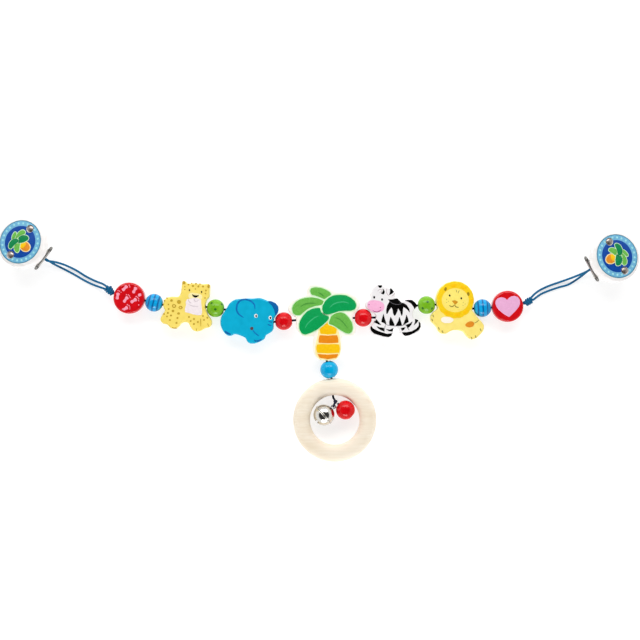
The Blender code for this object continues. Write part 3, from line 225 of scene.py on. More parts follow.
def add_node(tree, kind, settings=(), links=()):
    """Adds a node. Settings are its own properties or its inputs' values, links its inputs' sources."""
    node = tree.nodes.new(kind)
    for key, value in dict(settings).items():
        if isinstance(key, str) and hasattr(node, key):
            setattr(node, key, value)
        else:
            node.inputs[key].default_value = value
    for key, source in dict(links).items():
        tree.links.new(source, node.inputs[key])
    return node


def new_finish(name, **constants):
    """An empty material with its shader, whose constant sockets are set, and its Object coordinates."""
    material = bpy.data.materials.new(name)
    material.use_nodes = True
    tree = material.node_tree
    shader = tree.nodes["Principled BSDF"]
    for key, value in constants.items():
        shader.inputs[key.replace("_", " ")].default_value = value
    place = add_node(tree, "ShaderNodeTexCoord").outputs["Object"]
    return material, tree, shader, place


def two_tones(tree, source, low, high, first, second):
    """A colour that runs from the first tone to the second as the source goes from low to high."""
    ramp = add_node(tree, "ShaderNodeValToRGB", links={"Fac": source})
    ramp.color_ramp.elements[0].position = low
    ramp.color_ramp.elements[1].position = high
    ramp.color_ramp.elements[0].color = linear(first)
    ramp.color_ramp.elements[1].color = linear(second)
    return ramp.outputs["Color"]


def noise_over(tree, place, size, detail=3.0, stretch=(1.0, 1.0, 1.0)):
    """Noise whose spots have the given real size, drawn out along an axis where its stretch is below one."""
    mapping = add_node(tree, "ShaderNodeMapping", {"Scale": stretch}, {"Vector": place})
    noise = add_node(tree, "ShaderNodeTexNoise", {"Scale": 1 / size, "Detail": detail},
                     {"Vector": mapping.outputs["Vector"]})
    return noise.outputs["Fac"]


def roughened(finish, source, low, high):
    """The roughness, running from low to high with the source."""
    tree, shader = finish[1:3]
    spread = add_node(tree, "ShaderNodeMapRange", {"To Min": low, "To Max": high}, {"Value": source})
    tree.links.new(spread.outputs["Result"], shader.inputs["Roughness"])


def bumped(finish, source, depth, strength):
    """A relief of the given depth from the source."""
    tree, shader = finish[1:3]
    bump = add_node(tree, "ShaderNodeBump", {"Distance": depth, "Strength": strength}, {"Height": source})
    tree.links.new(bump.outputs["Normal"], shader.inputs["Normal"])


# Grain of the wood under paint, the brush marks of lacquer, and the cloudiness of printed colour
GRAIN_SIZE = 1.1 * MM
GRAIN_DEPTH = 0.03 * MM
LACQUER_CLOUD = 5.0 * MM
INK_CLOUD = 1.4 * MM
INK_RELIEF = 0.01 * MM
HANDLING_RELIEF = 0.005 * MM
PLAIN_GLOSS = {"IOR": 1.3, "Specular_IOR_Level": 0.2, "Coat_Roughness": 0.05}
FIBRE = {"IOR": 1.5, "Specular_IOR_Level": 0.2, "Sheen_Weight": 0.05, "Sheen_Roughness": 0.4}
EVEN = (1.0, 1.0, 1.0)


def clouded(finish, size, tones, rough, span=(0.3, 0.7), detail=3.0, stretch=EVEN):
    """Uneven colour and gloss: as noise of a real size rises over the span, the colour runs from the first
    tone to the second, and the roughness follows the noise too. Returns the noise and the colour."""
    tree, shader, place = finish[1:]
    cloud = noise_over(tree, place, size, detail, stretch)
    colour = two_tones(tree, cloud, *span, *tones)
    tree.links.new(colour, shader.inputs["Base Color"])
    roughened(finish, cloud, *rough)
    return cloud, colour


def grained(finish, stretch, strength):
    """Wood grain that telegraphs through paint, drawn out along one axis."""
    bumped(finish, noise_over(finish[1], finish[3], GRAIN_SIZE, stretch=stretch), GRAIN_DEPTH, strength)


def gloss_paint(name, light, dark, roughness=0.2, coat=0.35):
    """Glossy water-based lacquer dipped over turned beech: deep colour, a clear wet highlight, faint grain
    telegraphing through, and colour that pools a little unevenly."""
    finish = new_finish(name, Coat_Weight=coat, **PLAIN_GLOSS)
    clouded(finish, LACQUER_CLOUD, (dark, light), (roughness, roughness + 0.1))
    grained(finish, (0.15, 1.0, 1.0), 0.35)
    return finish[0]


def marked_paint(name, tones, mark, value, edge_span, relief, strength, places=(0.0,)):
    """Glossy paint with soft-edged marks over it, bands brushed on as the bead turned or printed dots. Their
    colour fades as the piece's pattern value gets farther from the nearest place, over the edge's span."""
    finish = new_finish(name, Coat_Weight=0.35, **PLAIN_GLOSS)
    tree, shader = finish[1:3]
    colour = clouded(finish, LACQUER_CLOUD, tones, (0.16, 0.26))[1]
    along = add_node(tree, "ShaderNodeAttribute", {"attribute_name": value}).outputs["Fac"]
    nearest = None
    for spot in places:
        off = add_node(tree, "ShaderNodeMath", {"operation": "SUBTRACT", 1: spot}, {0: along}).outputs[0]
        size = add_node(tree, "ShaderNodeMath", {"operation": "ABSOLUTE"}, {0: off}).outputs[0]
        both = {0: nearest or size, 1: size}
        nearest = add_node(tree, "ShaderNodeMath", {"operation": "MINIMUM"}, both).outputs[0]
    span = dict(zip(("From Min", "From Max"), edge_span))
    edge = add_node(tree, "ShaderNodeMapRange", span, {"Value": nearest}).outputs["Result"]
    mix = add_node(tree, "ShaderNodeMix", {"data_type": "RGBA", 6: linear(mark)}, {0: edge, 7: colour})
    tree.links.new(mix.outputs[2], shader.inputs["Base Color"])
    bumped(finish, edge, relief, strength)
    return finish[0]


def satin_paint(name, light, dark, roughness=0.34):
    """Satin paint sprayed on a sawn and sanded wooden plate: even colour with soft clouds, fine long grain
    in its relief, a broad soft sheen."""
    finish = new_finish(name, IOR=1.46, Specular_IOR_Level=0.3, Coat_Weight=0.12, Coat_Roughness=0.2)
    clouded(finish, LACQUER_CLOUD, (dark, light), (roughness, roughness + 0.12), (0.28, 0.72))
    grained(finish, (1.0, 0.12, 1.0), 0.4)
    return finish[0]


def printing_ink(name, light, dark, roughness=0.36, shine=0.25):
    """Pad-printed ink on the painted face: flat and dense, with the fine cloudiness of the pad's pressure."""
    finish = new_finish(name, IOR=1.46, Specular_IOR_Level=shine, Coat_Weight=0.03, Coat_Roughness=0.25)
    cloud = clouded(finish, INK_CLOUD, (dark, light), (roughness, roughness + 0.12), (0.3, 0.72), 4.0)[0]
    bumped(finish, cloud, INK_RELIEF, 0.3)
    return finish[0]


def bare_maple(name):
    """Sanded and waxed maple: pale cream with fine long grain lines across the ring, darker pores, and a
    low silky sheen."""
    finish = new_finish(name, IOR=1.46, Specular_IOR_Level=0.3, Coat_Weight=0.1, Coat_Roughness=0.3)
    tree, shader, place = finish[1:]
    grain = noise_over(tree, place, 1.3 * MM, 6.0, (0.07, 1.0, 0.6))
    broad = noise_over(tree, place, 9.0 * MM, 2.0, (0.25, 1.0, 0.6))
    fine = two_tones(tree, grain, 0.3, 0.68, "#E9D8BA", "#F7ECD8")
    wide = two_tones(tree, broad, 0.32, 0.7, "#F6EEE0", "#FEFAF3")
    mix = add_node(tree, "ShaderNodeMix", {"data_type": "RGBA", "blend_type": "MULTIPLY", 0: 0.55},
                   {6: wide, 7: fine})
    tree.links.new(mix.outputs[2], shader.inputs["Base Color"])
    roughened(finish, grain, 0.42, 0.56)
    bumped(finish, grain, 0.04 * MM, 0.5)
    return finish[0]


def braided_cord(name, crest, groove):
    """Braided polyester cord: plaited carriers, their crests lighter as painted light and the grooves
    between them darker as painted shade, both following the plait's height; and a soft fibre sheen."""
    finish = new_finish(name, **FIBRE)
    tree, shader, place = finish[1:]
    braid = add_node(tree, "ShaderNodeAttribute", {"attribute_name": "braid"}).outputs["Fac"]
    # Painted light and shade: the colour runs from the dark groove tone to the light crest tone as the plait
    # rises
    tree.links.new(two_tones(tree, braid, 0.15, 0.85, groove, crest), shader.inputs["Base Color"])
    fibre = noise_over(tree, place, 0.25 * MM, 2.0)
    roughened(finish, fibre, 0.55, 0.8)
    bumped(finish, fibre, 0.03 * MM, 0.5)
    return finish[0]


def held_cord(name, crest, groove):
    """The same braided cord where it runs inside a piece: its plait drawn as fine crossing waves, their
    crests lighter as painted light and the gaps between them darker as painted shade.
    """
    finish = new_finish(name, **FIBRE)
    tree, shader, place = finish[1:]
    waves = {"bands_direction": "DIAGONAL", "Scale": 1 / (6 * BRAID_PITCH), "Distortion": 0.6}
    wave = add_node(tree, "ShaderNodeTexWave", waves, {"Vector": place}).outputs["Fac"]
    # Painted light and shade: the waves run from the dark groove tone to the light crest tone
    tree.links.new(two_tones(tree, wave, 0.2, 0.8, groove, crest), shader.inputs["Base Color"])
    roughened(finish, wave, 0.6, 0.8)
    bumped(finish, wave, 0.08 * MM, 0.6)
    return finish[0]


def bright_metal(name, light, dark, rough, mark=0.8 * MM, stretch=EVEN):
    """Plated or drawn metal: a mirror broken by fine handling marks that change its roughness."""
    finish = new_finish(name, Metallic=1.0)
    marks = clouded(finish, mark, (dark, light), rough, detail=4.0, stretch=stretch)[0]
    bumped(finish, marks, HANDLING_RELIEF, 0.4)
    return finish[0]


def clear_vinyl(name):
    """Soft clear vinyl of the clip's tooth pad: milky, half see-through, satin from its mould."""
    finish = new_finish(name, IOR=1.46, Transmission_Weight=0.55)
    cloud = clouded(finish, 2.0 * MM, ("#D9DEDD", "#EEF1F0"), (0.3, 0.45))[0]
    bumped(finish, cloud, 0.02 * MM, 0.3)
    return finish[0]


def frosted_table(name):
    """Frosted acrylic of a light table: it glows evenly from below, so that shadows on it almost vanish."""
    finish = new_finish(name, IOR=1.45, Emission_Strength=0.72, Emission_Color=linear("#FFFFFF"))
    clouded(finish, 60.0 * MM, ("#A8A8A8", "#ACACAC"), (0.75, 0.85))
    return finish[0]


# The striped beads' bands, brushed across the bore, and the green beads' dots: their places along the bore
# and, as distances in millimetres, where their edges start and end
BAND_PLACES = (-3.7, 0.0, 3.7)
BAND_EDGE = (0.24, 0.96)
BAND_RELIEF = 0.03 * MM
DOT_EDGE = (0.88, 1.265)
DOT_RELIEF = 0.02 * MM

bead_red = gloss_paint("red_gloss_paint", "#DE0A16", "#CC0610")
bead_blue = gloss_paint("sky_gloss_paint", "#00AEE0", "#009ED2")
bead_striped = marked_paint("sky_paint_with_bands", ("#0A98D8", "#14A6E2"), "#085C9A", "along",
                            BAND_EDGE, BAND_RELIEF, 0.5, BAND_PLACES)
bead_spotted = marked_paint("green_paint_with_dots", ("#70AE1C", "#7EBC28"), "#2F6E1E", "spot",
                            DOT_EDGE, DOT_RELIEF, 0.4)
disc_red = gloss_paint("red_disc_paint", "#D8101A", "#C60A14", 0.2, 0.5)
elephant_blue = satin_paint("elephant_blue_paint", "#00B0D6", "#00A5CA")
leopard_yellow = satin_paint("leopard_yellow_paint", "#FBE274", "#F4DA68")
lion_yellow = satin_paint("lion_yellow_paint", "#FDE984", "#F8E074")
zebra_white = satin_paint("zebra_white_paint", "#F3F0F0", "#EAE7E8")
palm_cream = satin_paint("palm_cream_paint", "#FDFAF0", "#F9F2E2")
clip_white = gloss_paint("clip_white_paint", "#F1EEED", "#E8E5E3", 0.22, 0.3)
ring_maple = bare_maple("waxed_maple")
# Cords: each light crest tone and dark groove tone is painted light and painted shade of the plait
loop_blue = braided_cord("blue_braided_cord", "#006EA0", "#003C5A")
chain_navy = braided_cord("navy_braided_cord", "#1A2342", "#04060D")
held_navy = held_cord("navy_cord_inside", "#1A2342", "#04060D")
bell_nickel = bright_metal("polished_nickel", "#E4E2DC", "#CFCCC4", (0.06, 0.16))
wire_steel = bright_metal("drawn_steel_wire", "#918F8B", "#63615D", (0.22, 0.4), 0.5 * MM, (0.2, 1.0, 1.0))
sheet_steel = bright_metal("rolled_sheet_steel", "#C9C7C2", "#A9A7A2", (0.2, 0.36), 0.6 * MM, (0.1, 1.0, 1.0))
rivet_brass = bright_metal("dulled_rivet_plating", "#BEB2AA", "#948A82", (0.28, 0.45), 0.5 * MM)
pad_vinyl = clear_vinyl("clear_vinyl")

# Inks: the light and the dark tone of each
INKS = {
    "grey_line": ("#5C5A5E", "#504E52"), "pink": ("#F8BADB", "#F3AED2"),
    "muzzle_line": ("#AE5A86", "#A24C78"), "rose": ("#FBA9BF", "#F497AE"),
    "heart_pink": ("#ECB2D8", "#E4A8CF"), "ochre": ("#C9A634", "#BC982A"),
    "leopard_belly": ("#F7ECEE", "#EEE2E5"), "leopard_muzzle": ("#FCF0B4", "#F8E8A4"),
    "fur_line": ("#CDBFC4", "#C2B3B9"), "pale_belly": ("#FFF7EA", "#FBF0DE"),
    "light_leaf": ("#70BC52", "#62B044"), "dark_leaf": ("#04A256", "#00964C"),
    "mint": ("#D6F4CC", "#C8EDBE"), "light_leaf_vein": ("#529E40", "#489236"),
    "dark_leaf_vein": ("#44BC80", "#36B072"), "trunk_yellow": ("#FAC80E", "#F4BE04"),
    "trunk_orange": ("#EE9018", "#E6840E"), "trunk_pale": ("#FFF2B4", "#FAE79A"),
    "mane": ("#FAD21C", "#F3C812"), "mane_lock": ("#FDC70A", "#F6BC02"),
    "lion_face": ("#FDEA7A", "#F8E06A"), "lion_ear": ("#A88C20", "#9A7E16"), "claw": ("#AFA054", "#A39448"),
    "nose": ("#D99A26", "#CC8C1C"), "lion_line": ("#8E7C34", "#82702A"), "tuft": ("#E8922A", "#DE861E"),
    "deep_blue": ("#0A66AE", "#065A9E"), "elephant_line": ("#0C75BC", "#0869AC"),
    "trunk_tip": ("#5E4A50", "#524046"), "white": ("#FCFCFA", "#F2F2F0"),
    "clip_field": ("#0449A2", "#033F96"), "clip_leaf": ("#04884C", "#027C44"),
    "clip_rim": ("#74B6D8", "#68AACE"), "clip_dot": ("#A2DEE4", "#92D2DA"),
    "clip_line": ("#2F7F98", "#26738C")}
inks = {name: printing_ink(name + "_ink", *tones) for name, tones in INKS.items()}
inks["black"] = printing_ink("black_ink", "#080706", "#030303", shine=0.06)


# Surfaces

def grid_faces(rows, columns, close_rows=False, close_columns=True):
    """Quads between the points of a grid, its lines counted down and its columns across."""
    index = np.arange(rows * columns).reshape(rows, columns)
    below = np.roll(index, -1, 0)
    beside = np.roll(index, -1, 1)
    across = np.roll(below, -1, 1)
    quads = np.stack([index, below, across, beside], -1)
    quads = quads[:rows if close_rows else rows - 1, :columns if close_columns else columns - 1]
    return quads.reshape(-1, 4)


def placed(points, matrix):
    """Points carried by a matrix."""
    turn = np.array(matrix)
    return points @ turn[:3, :3].T + turn[:3, 3]


WELD = 0.0005 * MM


def linked(name, data):
    """An object with the given data, in the scene."""
    thing = bpy.data.objects.new(name, data)
    bpy.context.scene.collection.objects.link(thing)
    return thing


def closed_mesh(name, points, faces, values=None):
    """A mesh whose seams and poles are welded, its faces outward, and its pattern values stored."""
    mesh = bpy.data.meshes.new(name)
    mesh.from_pydata(np.asarray(points, float).tolist(), [], [list(face) for face in faces])
    for key, numbers in (values or {}).items():
        mesh.attributes.new(key, "FLOAT", "POINT").data.foreach_set("value", np.asarray(numbers, np.float32))
    shape = bmesh.new()
    shape.from_mesh(mesh)
    bmesh.ops.remove_doubles(shape, verts=shape.verts, dist=WELD)
    bmesh.ops.recalc_face_normals(shape, faces=shape.faces)
    shape.to_mesh(mesh)
    shape.free()
    return mesh


def shaded(piece, sharp):
    """Smooth shading, with the edges above an angle left sharp."""
    piece.data.shade_smooth()
    piece.data.set_sharp_from_angle(angle=math.radians(sharp))


def add_piece(name, surface, material, node, sharp=40.0, values=None, stands_in=True, matrix=None):
    """A finished piece on the body of a node, in that node's place unless it only rides there. Its surface
    is points and faces, which a matrix carries to their place."""
    points, faces = surface
    points = placed(points, matrix) if matrix else points
    piece = linked(name, closed_mesh(name, points, faces, values))
    piece.data.materials.append(material)
    shaded(piece, sharp)
    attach(piece, nodes[node]["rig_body"])
    if stands_in:
        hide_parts(node)
    return piece


def refinished(node, material):
    """Gives a carried-over solid its finish."""
    nodes[node].data.materials.clear()
    nodes[node].data.materials.append(material)


def unit(vectors):
    """Vectors, one to a row, brought to length 1."""
    return vectors / np.linalg.norm(vectors, axis=1)[:, None]


def length_along(line):
    """The length of a line up to each of its points."""
    return np.concatenate([[0.0], np.cumsum(np.linalg.norm(np.diff(line, axis=0), axis=1))])


def counterclockwise(line):
    """A closed flat line, turned round where its area, half the sum of x y' - x' y, is below zero."""
    line = np.asarray(line, float)
    x, y = line.T
    return line if (x * np.roll(y, -1) - y * np.roll(x, -1)).sum() > 0 else line[::-1]


def turned(profile, steps, closed=True):
    """A profile of (distance from the axis, height) turned round Z: x = r cos a, y = r sin a, z = h."""
    r, h = np.asarray(profile, float).T
    angle = np.linspace(0.0, math.tau, steps, endpoint=False)
    x = np.outer(r, np.cos(angle))
    y = np.outer(r, np.sin(angle))
    z = np.repeat(h[:, None], steps, 1)
    points = np.stack([x, y, z], -1).reshape(-1, 3)
    return points, grid_faces(len(r), steps, close_rows=closed)


def arc(centre, radius, start, turn, count):
    """Points on an arc in a plane: centre + radius (cos a, sin a), a from start through turn, in degrees."""
    angle = np.radians(np.linspace(start, start + turn, count))
    return np.column_stack([centre[0] + radius * np.cos(angle), centre[1] + radius * np.sin(angle)])


def circle_line(radius, count=180, x=0.0, y=0.0):
    """A closed circle in the plane of a face."""
    return arc((x, y), radius, 0.0, 360.0 - 360.0 / count, count)


def route_through(route, spacing):
    """Evenly spaced points on the Catmull-Rom curve through a route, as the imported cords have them."""
    knots = np.vstack([2 * route[0] - route[1], route, 2 * route[-1] - route[-2]])
    p0, p1, p2, p3 = (knots[at:len(knots) - 3 + at, None, :] for at in range(4))
    s = np.linspace(0.0, 1.0, 12, endpoint=False)[None, :, None]
    fine = 0.5 * (2 * p1 + (p2 - p0) * s + (2 * p0 - 5 * p1 + 4 * p2 - p3) * s ** 2
                  + (3 * p1 - p0 - 3 * p2 + p3) * s ** 3)
    fine = np.vstack([fine.reshape(-1, 3), route[-1]])
    return evenly(fine, spacing)


def evenly(line, spacing, closed=False):
    """Points at one spacing along a line, by interpolation over its length."""
    line = np.asarray(line, float)
    if closed:
        line = np.vstack([line, line[0]])
    reach = length_along(line)
    count = max(4, int(round(reach[-1] / spacing)) + 1)
    wanted = np.linspace(0.0, reach[-1], count)
    points = np.column_stack([np.interp(wanted, reach, line[:, axis]) for axis in range(line.shape[1])])
    return points[:-1] if closed else points


def softened(line, spacing, softness, closed=True):
    """A line evened out and blurred along itself by a bell-shaped weight of the given width."""
    points = evenly(line, spacing, closed)
    reach = int(math.ceil(3 * softness / spacing))
    offset = np.arange(-reach, reach + 1)
    weight = np.exp(-0.5 * (offset * spacing / softness) ** 2)
    weight /= weight.sum()
    index = np.arange(len(points))[:, None] + offset[None, :]
    if closed:
        return np.einsum("ijk,j->ik", points[index % len(points)], weight)
    before = 2 * points[0] - points[np.clip(-index, 0, len(points) - 1)]
    after = 2 * points[-1] - points[np.clip(2 * (len(points) - 1) - index, 0, len(points) - 1)]
    inside = points[np.clip(index, 0, len(points) - 1)]
    past = np.where((index >= len(points))[..., None], after, inside)
    wide = np.where((index < 0)[..., None], before, past)
    return np.einsum("ijk,j->ik", wide, weight)


def tube(path, radius, side, sides, closed=False, relief=None):
    """A tube along a path: point + r (cos a u + sin a v), u square to the path and closest to the given
    side, v square to both. Relief is a share of the radius at each (angle share, length along)."""
    path = np.asarray(path, float)
    if closed:
        along = np.roll(path, -1, 0) - np.roll(path, 1, 0)
    else:
        along = np.gradient(path, axis=0)
    along = unit(along)
    side = np.asarray(side, float)
    u = unit(side[None, :] - (along @ side)[:, None] * along)
    v = np.cross(u, along)
    share = np.arange(sides) / sides
    angle = math.tau * share
    reach = length_along(path)
    size = np.broadcast_to(np.asarray(radius, float), (len(path),))[:, None] * np.ones((1, sides))
    if relief is not None:
        size = size * relief(share[None, :], reach[:, None])
    ring = np.cos(angle)[None, :, None] * u[:, None, :] + np.sin(angle)[None, :, None] * v[:, None, :]
    points = (path[:, None, :] + size[..., None] * ring).reshape(-1, 3)
    faces = grid_faces(len(path), sides, close_rows=closed).tolist()
    if not closed:
        last = (len(path) - 1) * sides
        faces += [list(range(sides)), list(range(last + sides - 1, last - 1, -1))]
    return points, faces


def braid_height(share, reach):
    """Height of the plait, 0 in the grooves and 1 on the crests: the higher of two crossing waves."""
    one = np.abs(np.cos(math.pi * (BRAID_CARRIERS * share + reach / BRAID_PITCH)))
    other = np.abs(np.cos(math.pi * (BRAID_CARRIERS * share - reach / BRAID_PITCH)))
    return np.maximum(one, other) ** 2 * (1 - 0.35 * one * other)


def braid_relief(share, reach):
    """Share of the cord's radius at each place on it."""
    return 1.0 - BRAID_RELIEF * (1.0 - braid_height(share, reach))


def cord_piece(name, path, side, material, node, diameter=CORD_DIAMETER, stands_in=True):
    """A braided cord along a path, its plait in its relief and in its pattern value, from which the finish
    paints light on the crests and shade in the grooves.
    """
    fine = softened(path, BRAID_STEP, 3 * BRAID_STEP, closed=False)
    surface = tube(fine, diameter / 2, side, CORD_SIDES, relief=braid_relief)
    share = np.arange(CORD_SIDES) / CORD_SIDES
    # The plait's height, for the finish's painted crest light and painted groove shade
    braid = braid_height(share[None, :], length_along(fine)[:, None]).reshape(-1)
    return add_piece(name, surface, material, node, 60.0, {"braid": braid}, stands_in)


def points_of(mesh):
    """A mesh's points, one to a row."""
    points = np.empty(3 * len(mesh.vertices))
    mesh.vertices.foreach_get("co", points)
    return points.reshape(-1, 3)


def line_of(node):
    """The two ends of a straight cord node, from the spread of its points."""
    points = points_of(nodes[node].data)
    middle = (points.min(0) + points.max(0)) / 2
    along = np.linalg.svd(points - points.mean(0), full_matrices=False)[2][0]
    reach = (points - middle) @ along
    return middle + along * reach.min(), middle + along * reach.max()


def lie_along(point, heading):
    """A matrix that lays a Z-axis piece along a heading, at a point."""
    turn = Matrix.Rotation(math.radians(heading), 4, "Z") @ Matrix.Rotation(math.pi / 2, 4, "Y")
    return Matrix.Translation(Vector(point)) @ turn


def heading_of(vector):
    """The heading of a vector in the flat plane, in degrees."""
    return math.degrees(math.atan2(vector[1], vector[0]))


def flat_direction(heading):
    """The unit vector of a heading in the flat plane."""
    return np.array([math.cos(math.radians(heading)), math.sin(math.radians(heading)), 0.0])


def middle_of(node):
    """The middle of a node's box."""
    low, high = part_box(node)
    return np.array((low + high) / 2)


def rod(radius, length, matrix, steps=32):
    """A closed rod along its matrix's Z axis."""
    ends = np.array([(0.0, 1.0), (radius, 1.0), (radius, -1.0), (0.0, -1.0)]) * (1.0, length / 2)
    points, faces = turned(ends, steps, closed=False)
    return placed(points, matrix), faces


def carve(piece, tools, sharp=None):
    """Cuts bodies out of a piece, and shades the result anew where an angle is given."""
    helpers = []
    for points, faces in tools:
        helper = linked("tool", closed_mesh("tool", points, faces))
        helpers.append(helper)
        step = piece.modifiers.new("carve", "BOOLEAN")
        step.operation = "DIFFERENCE"
        step.solver = "EXACT"
        step.object = helper
    graph = bpy.context.evaluated_depsgraph_get()
    graph.update()
    result = bpy.data.meshes.new_from_object(piece.evaluated_get(graph), preserve_all_data_layers=True,
                                             depsgraph=graph)
    piece.modifiers.clear()
    piece.data = result
    for helper in helpers:
        bpy.data.objects.remove(helper, do_unlink=True)
    if sharp:
        shaded(piece, sharp)


# Camera

centre_pixel = FRAME_PIXELS / 2
camera_data = bpy.data.cameras.new("overhead_camera")
camera_data.sensor_width = SENSOR_WIDTH
camera_data.lens = SENSOR_WIDTH * (CAMERA_HEIGHT - FACE_HEIGHT) / (FRAME_PIXELS * PIXEL)
camera = linked("overhead_camera", camera_data)
camera.location = ((centre_pixel - ORIGIN_PIXEL[0]) * PIXEL, (ORIGIN_PIXEL[1] - centre_pixel) * PIXEL,
                   CAMERA_HEIGHT)
bpy.context.scene.camera = camera


# Cords and knots

def knuckle(side):
    """The bail's hinge, at the middle of the sheet body's rolled end."""
    low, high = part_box("bail_" + side)
    middle = (low + high) / 2
    return Vector((middle.x, middle.y, high.z - BAIL_WIRE / 2))


def knot_middle(side):
    """The middle of an end loop's knot, from which its route is counted."""
    bar = knuckle(side)
    return np.array([bar.x - BAIL_PLACE[side][0], bar.y - BAIL_PLACE[side][1], 0.0])


def make_loop(side):
    """The loop of cord: out of the knot, down to the table, up and round the bail's bar, and back."""
    bar = knuckle(side)
    start = knot_middle(side)
    back = -flat_direction(CLIP_HEADINGS[side])
    turn = arc((BAIL_TURN_REACH - BAIL_TURN_RADIUS, bar.z - BAIL_HEIGHT), BAIL_TURN_RADIUS,
               BAIL_TURN_START, -180.0, 9)
    around = np.array([bar.x, bar.y, 0.0]) + turn[:, :1] * back + turn[:, 1:] * np.array([0.0, 0.0, 1.0])
    route = np.vstack([LOOP_OUT[side] + start, around, LOOP_BACK[side] + start])
    path = route_through(route, ROUTE_SPACING)
    sideways = flat_direction(CLIP_HEADINGS[side] + 90.0)
    piece = cord_piece("end_loop_" + side, path, sideways, loop_blue, "loop_cord_" + side)


for end in ("left", "right"):
    make_loop(end)


def make_loop_knot(side, disc):
    """The knot: two strands through turns of the cord wound round them. The winding is r(s) (cos a, sin a)
    with a = turns 2 pi s and r = widest (1 - taper (1 - s)^1.6 - roundness |2 s - 1|^4), and it climbs as s
    times its length plus wave sin 2 a, s running from the disc's end to the loop's end."""
    node = "loop_knot_" + side
    heading = KNOT_HEADINGS[side]
    middle = knot_middle(side)
    middle[2] = middle_of(node)[2]
    matrix = lie_along(middle, heading)
    radius = CORD_DIAMETER / 2
    s = np.linspace(0.0, 1.0, LOOP_KNOT_POINTS)
    angle = LOOP_KNOT_TURNS * math.tau * s
    widest = LOOP_KNOT_WIDTHS[side] / 2 - radius
    narrower = LOOP_KNOT_TAPERS[side] * (1 - s) ** 1.6 + LOOP_KNOT_ROUNDNESS[side] * np.abs(2 * s - 1) ** 4
    r = widest * (1.0 - narrower)
    h = (s - 0.5) * (LOOP_KNOT_LENGTH - CORD_DIAMETER) + LOOP_KNOT_WAVE * np.sin(2 * angle)
    winding = placed(np.column_stack([r * np.cos(angle), r * np.sin(angle), h]), matrix)
    cord_piece(node + "_turns", winding, flat_direction(heading), loop_blue, node)
    inward = middle_of(disc) * (1.0, 1.0, 0.0) + (0.0, 0.0, middle[2]) - middle
    inward /= np.linalg.norm(inward)
    reach = LOOP_KNOT_LENGTH / 2
    entry = middle + inward * (reach + KNOT_IN_DISC)
    back = middle - flat_direction(heading) * reach * STRAND_WAY_SHARE
    exits = (("a", LOOP_OUT[side][0], STRAND_OFFSET), ("b", LOOP_BACK[side][-1], -STRAND_OFFSET))
    for label, place, shift in exits:
        exit_point = place + knot_middle(side)
        off = flat_direction(heading + 90.0) * shift
        path = np.array([entry + off * STRAND_ENTRY_SHARE, back + off * STRAND_WAY_SHARE, middle + off,
                         middle + (exit_point - middle) * STRAND_WAY_SHARE, exit_point])
        cord_piece("%s_strand_%s" % (node, label), route_through(path, STRAND_SPACING), (0.0, 0.0, 1.0),
                   loop_blue, node, diameter=STRAND_DIAMETER, stands_in=False)


make_loop_knot("left", "footprint_disc")
make_loop_knot("right", "heart_disc")

LINK_CORDS = ("cord_palm_zebra", "cord_zebra_lion", "cord_lion_heart", "cord_palm_elephant",
              "cord_elephant_leopard", "cord_leopard_footprint", "cord_palm_ring")
for link in LINK_CORDS:
    cord_piece(link + "_braid", np.array(line_of(link)), (0.0, 0.0, 1.0), chain_navy, link)

for held in ("zebra", "lion", "heart_disc", "elephant", "leopard", "footprint_disc", "palm", "ring_bead"):
    refinished(held + "_cord", held_navy)

ring_middle = middle_of("ring")
ring_middle[2] = 0.0


def make_ring_cords():
    """The cord that comes through the ring to its knot, and the cut end that drops through the bell's eye."""
    inner, outer = line_of("cord_palm_ring")
    if inner[1] > outer[1]:
        inner, outer = outer, inner
    low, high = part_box("ring_cord")
    knot = middle_of("tail_knot")
    start = np.array([low.x + CORD_DIAMETER / 2, high.y, inner[2]])
    route = np.vstack([start, RING_CORD_ROUTE + ring_middle, knot])
    path = route_through(route, BEND_SPACING)
    cord_piece("ring_cord_braid", path, (1.0, 0.0, 0.0), chain_navy, "ring_cord")
    path = route_through(np.vstack([knot, BELL_CORD_ROUTE + ring_middle]), BEND_SPACING)
    cord_piece("bell_cord_braid", path, (1.0, 0.0, 0.0), chain_navy, "bell_cord")


make_ring_cords()


def make_tail_knot():
    """The small knot, a trefoil pulled tight: (sin t + 2 sin 2t, cos t - 2 cos 2t, -rise sin 3t)."""
    t = np.linspace(0.0, math.tau, 160, endpoint=False)
    wire = TAIL_KNOT_DIAMETER * TAIL_WIRE_SHARE
    size = (TAIL_KNOT_DIAMETER / 2 - wire) / 3
    x, y = np.sin(t) + 2 * np.sin(2 * t), np.cos(t) - 2 * np.cos(2 * t)
    knot = np.column_stack([x, y, -TAIL_KNOT_RISE * np.sin(3 * t)])
    path = knot * size + middle_of("tail_knot")
    surface = tube(path, wire, (0.0, 0.0, 1.0), WIRE_SIDES, closed=True)
    # Pattern value for the finish's painted crest light and painted groove shade round the knot's wire
    braid = np.tile(np.abs(np.cos(np.arange(WIRE_SIDES) * math.pi / 5)), len(path))
    add_piece("tail_knot_turns", surface, chain_navy, "tail_knot", 60.0, {"braid": braid})


make_tail_knot()


# Turned wood

def bead_profile(radius, hole):
    """A ball's side from mouth to mouth, (r sin a, r cos a), its lips rounded into a bore."""
    start = math.asin((hole + BORE_LIP) / radius)
    angle = np.linspace(start, math.pi - start, BEAD_ROWS)
    side = np.column_stack([radius * np.sin(angle), radius * np.cos(angle)])
    lip_height = side[0, 1]
    turn = np.radians(np.linspace(0.0, LIP_TURN, 5))
    top = np.column_stack([hole + BORE_LIP * (1 - np.cos(turn)),
                           lip_height - BORE_LIP * (1 - np.sin(turn)) * LIP_HEIGHT_SHARE])
    bottom = top[::-1] * (1.0, -1.0)
    return np.vstack([top, side, bottom])


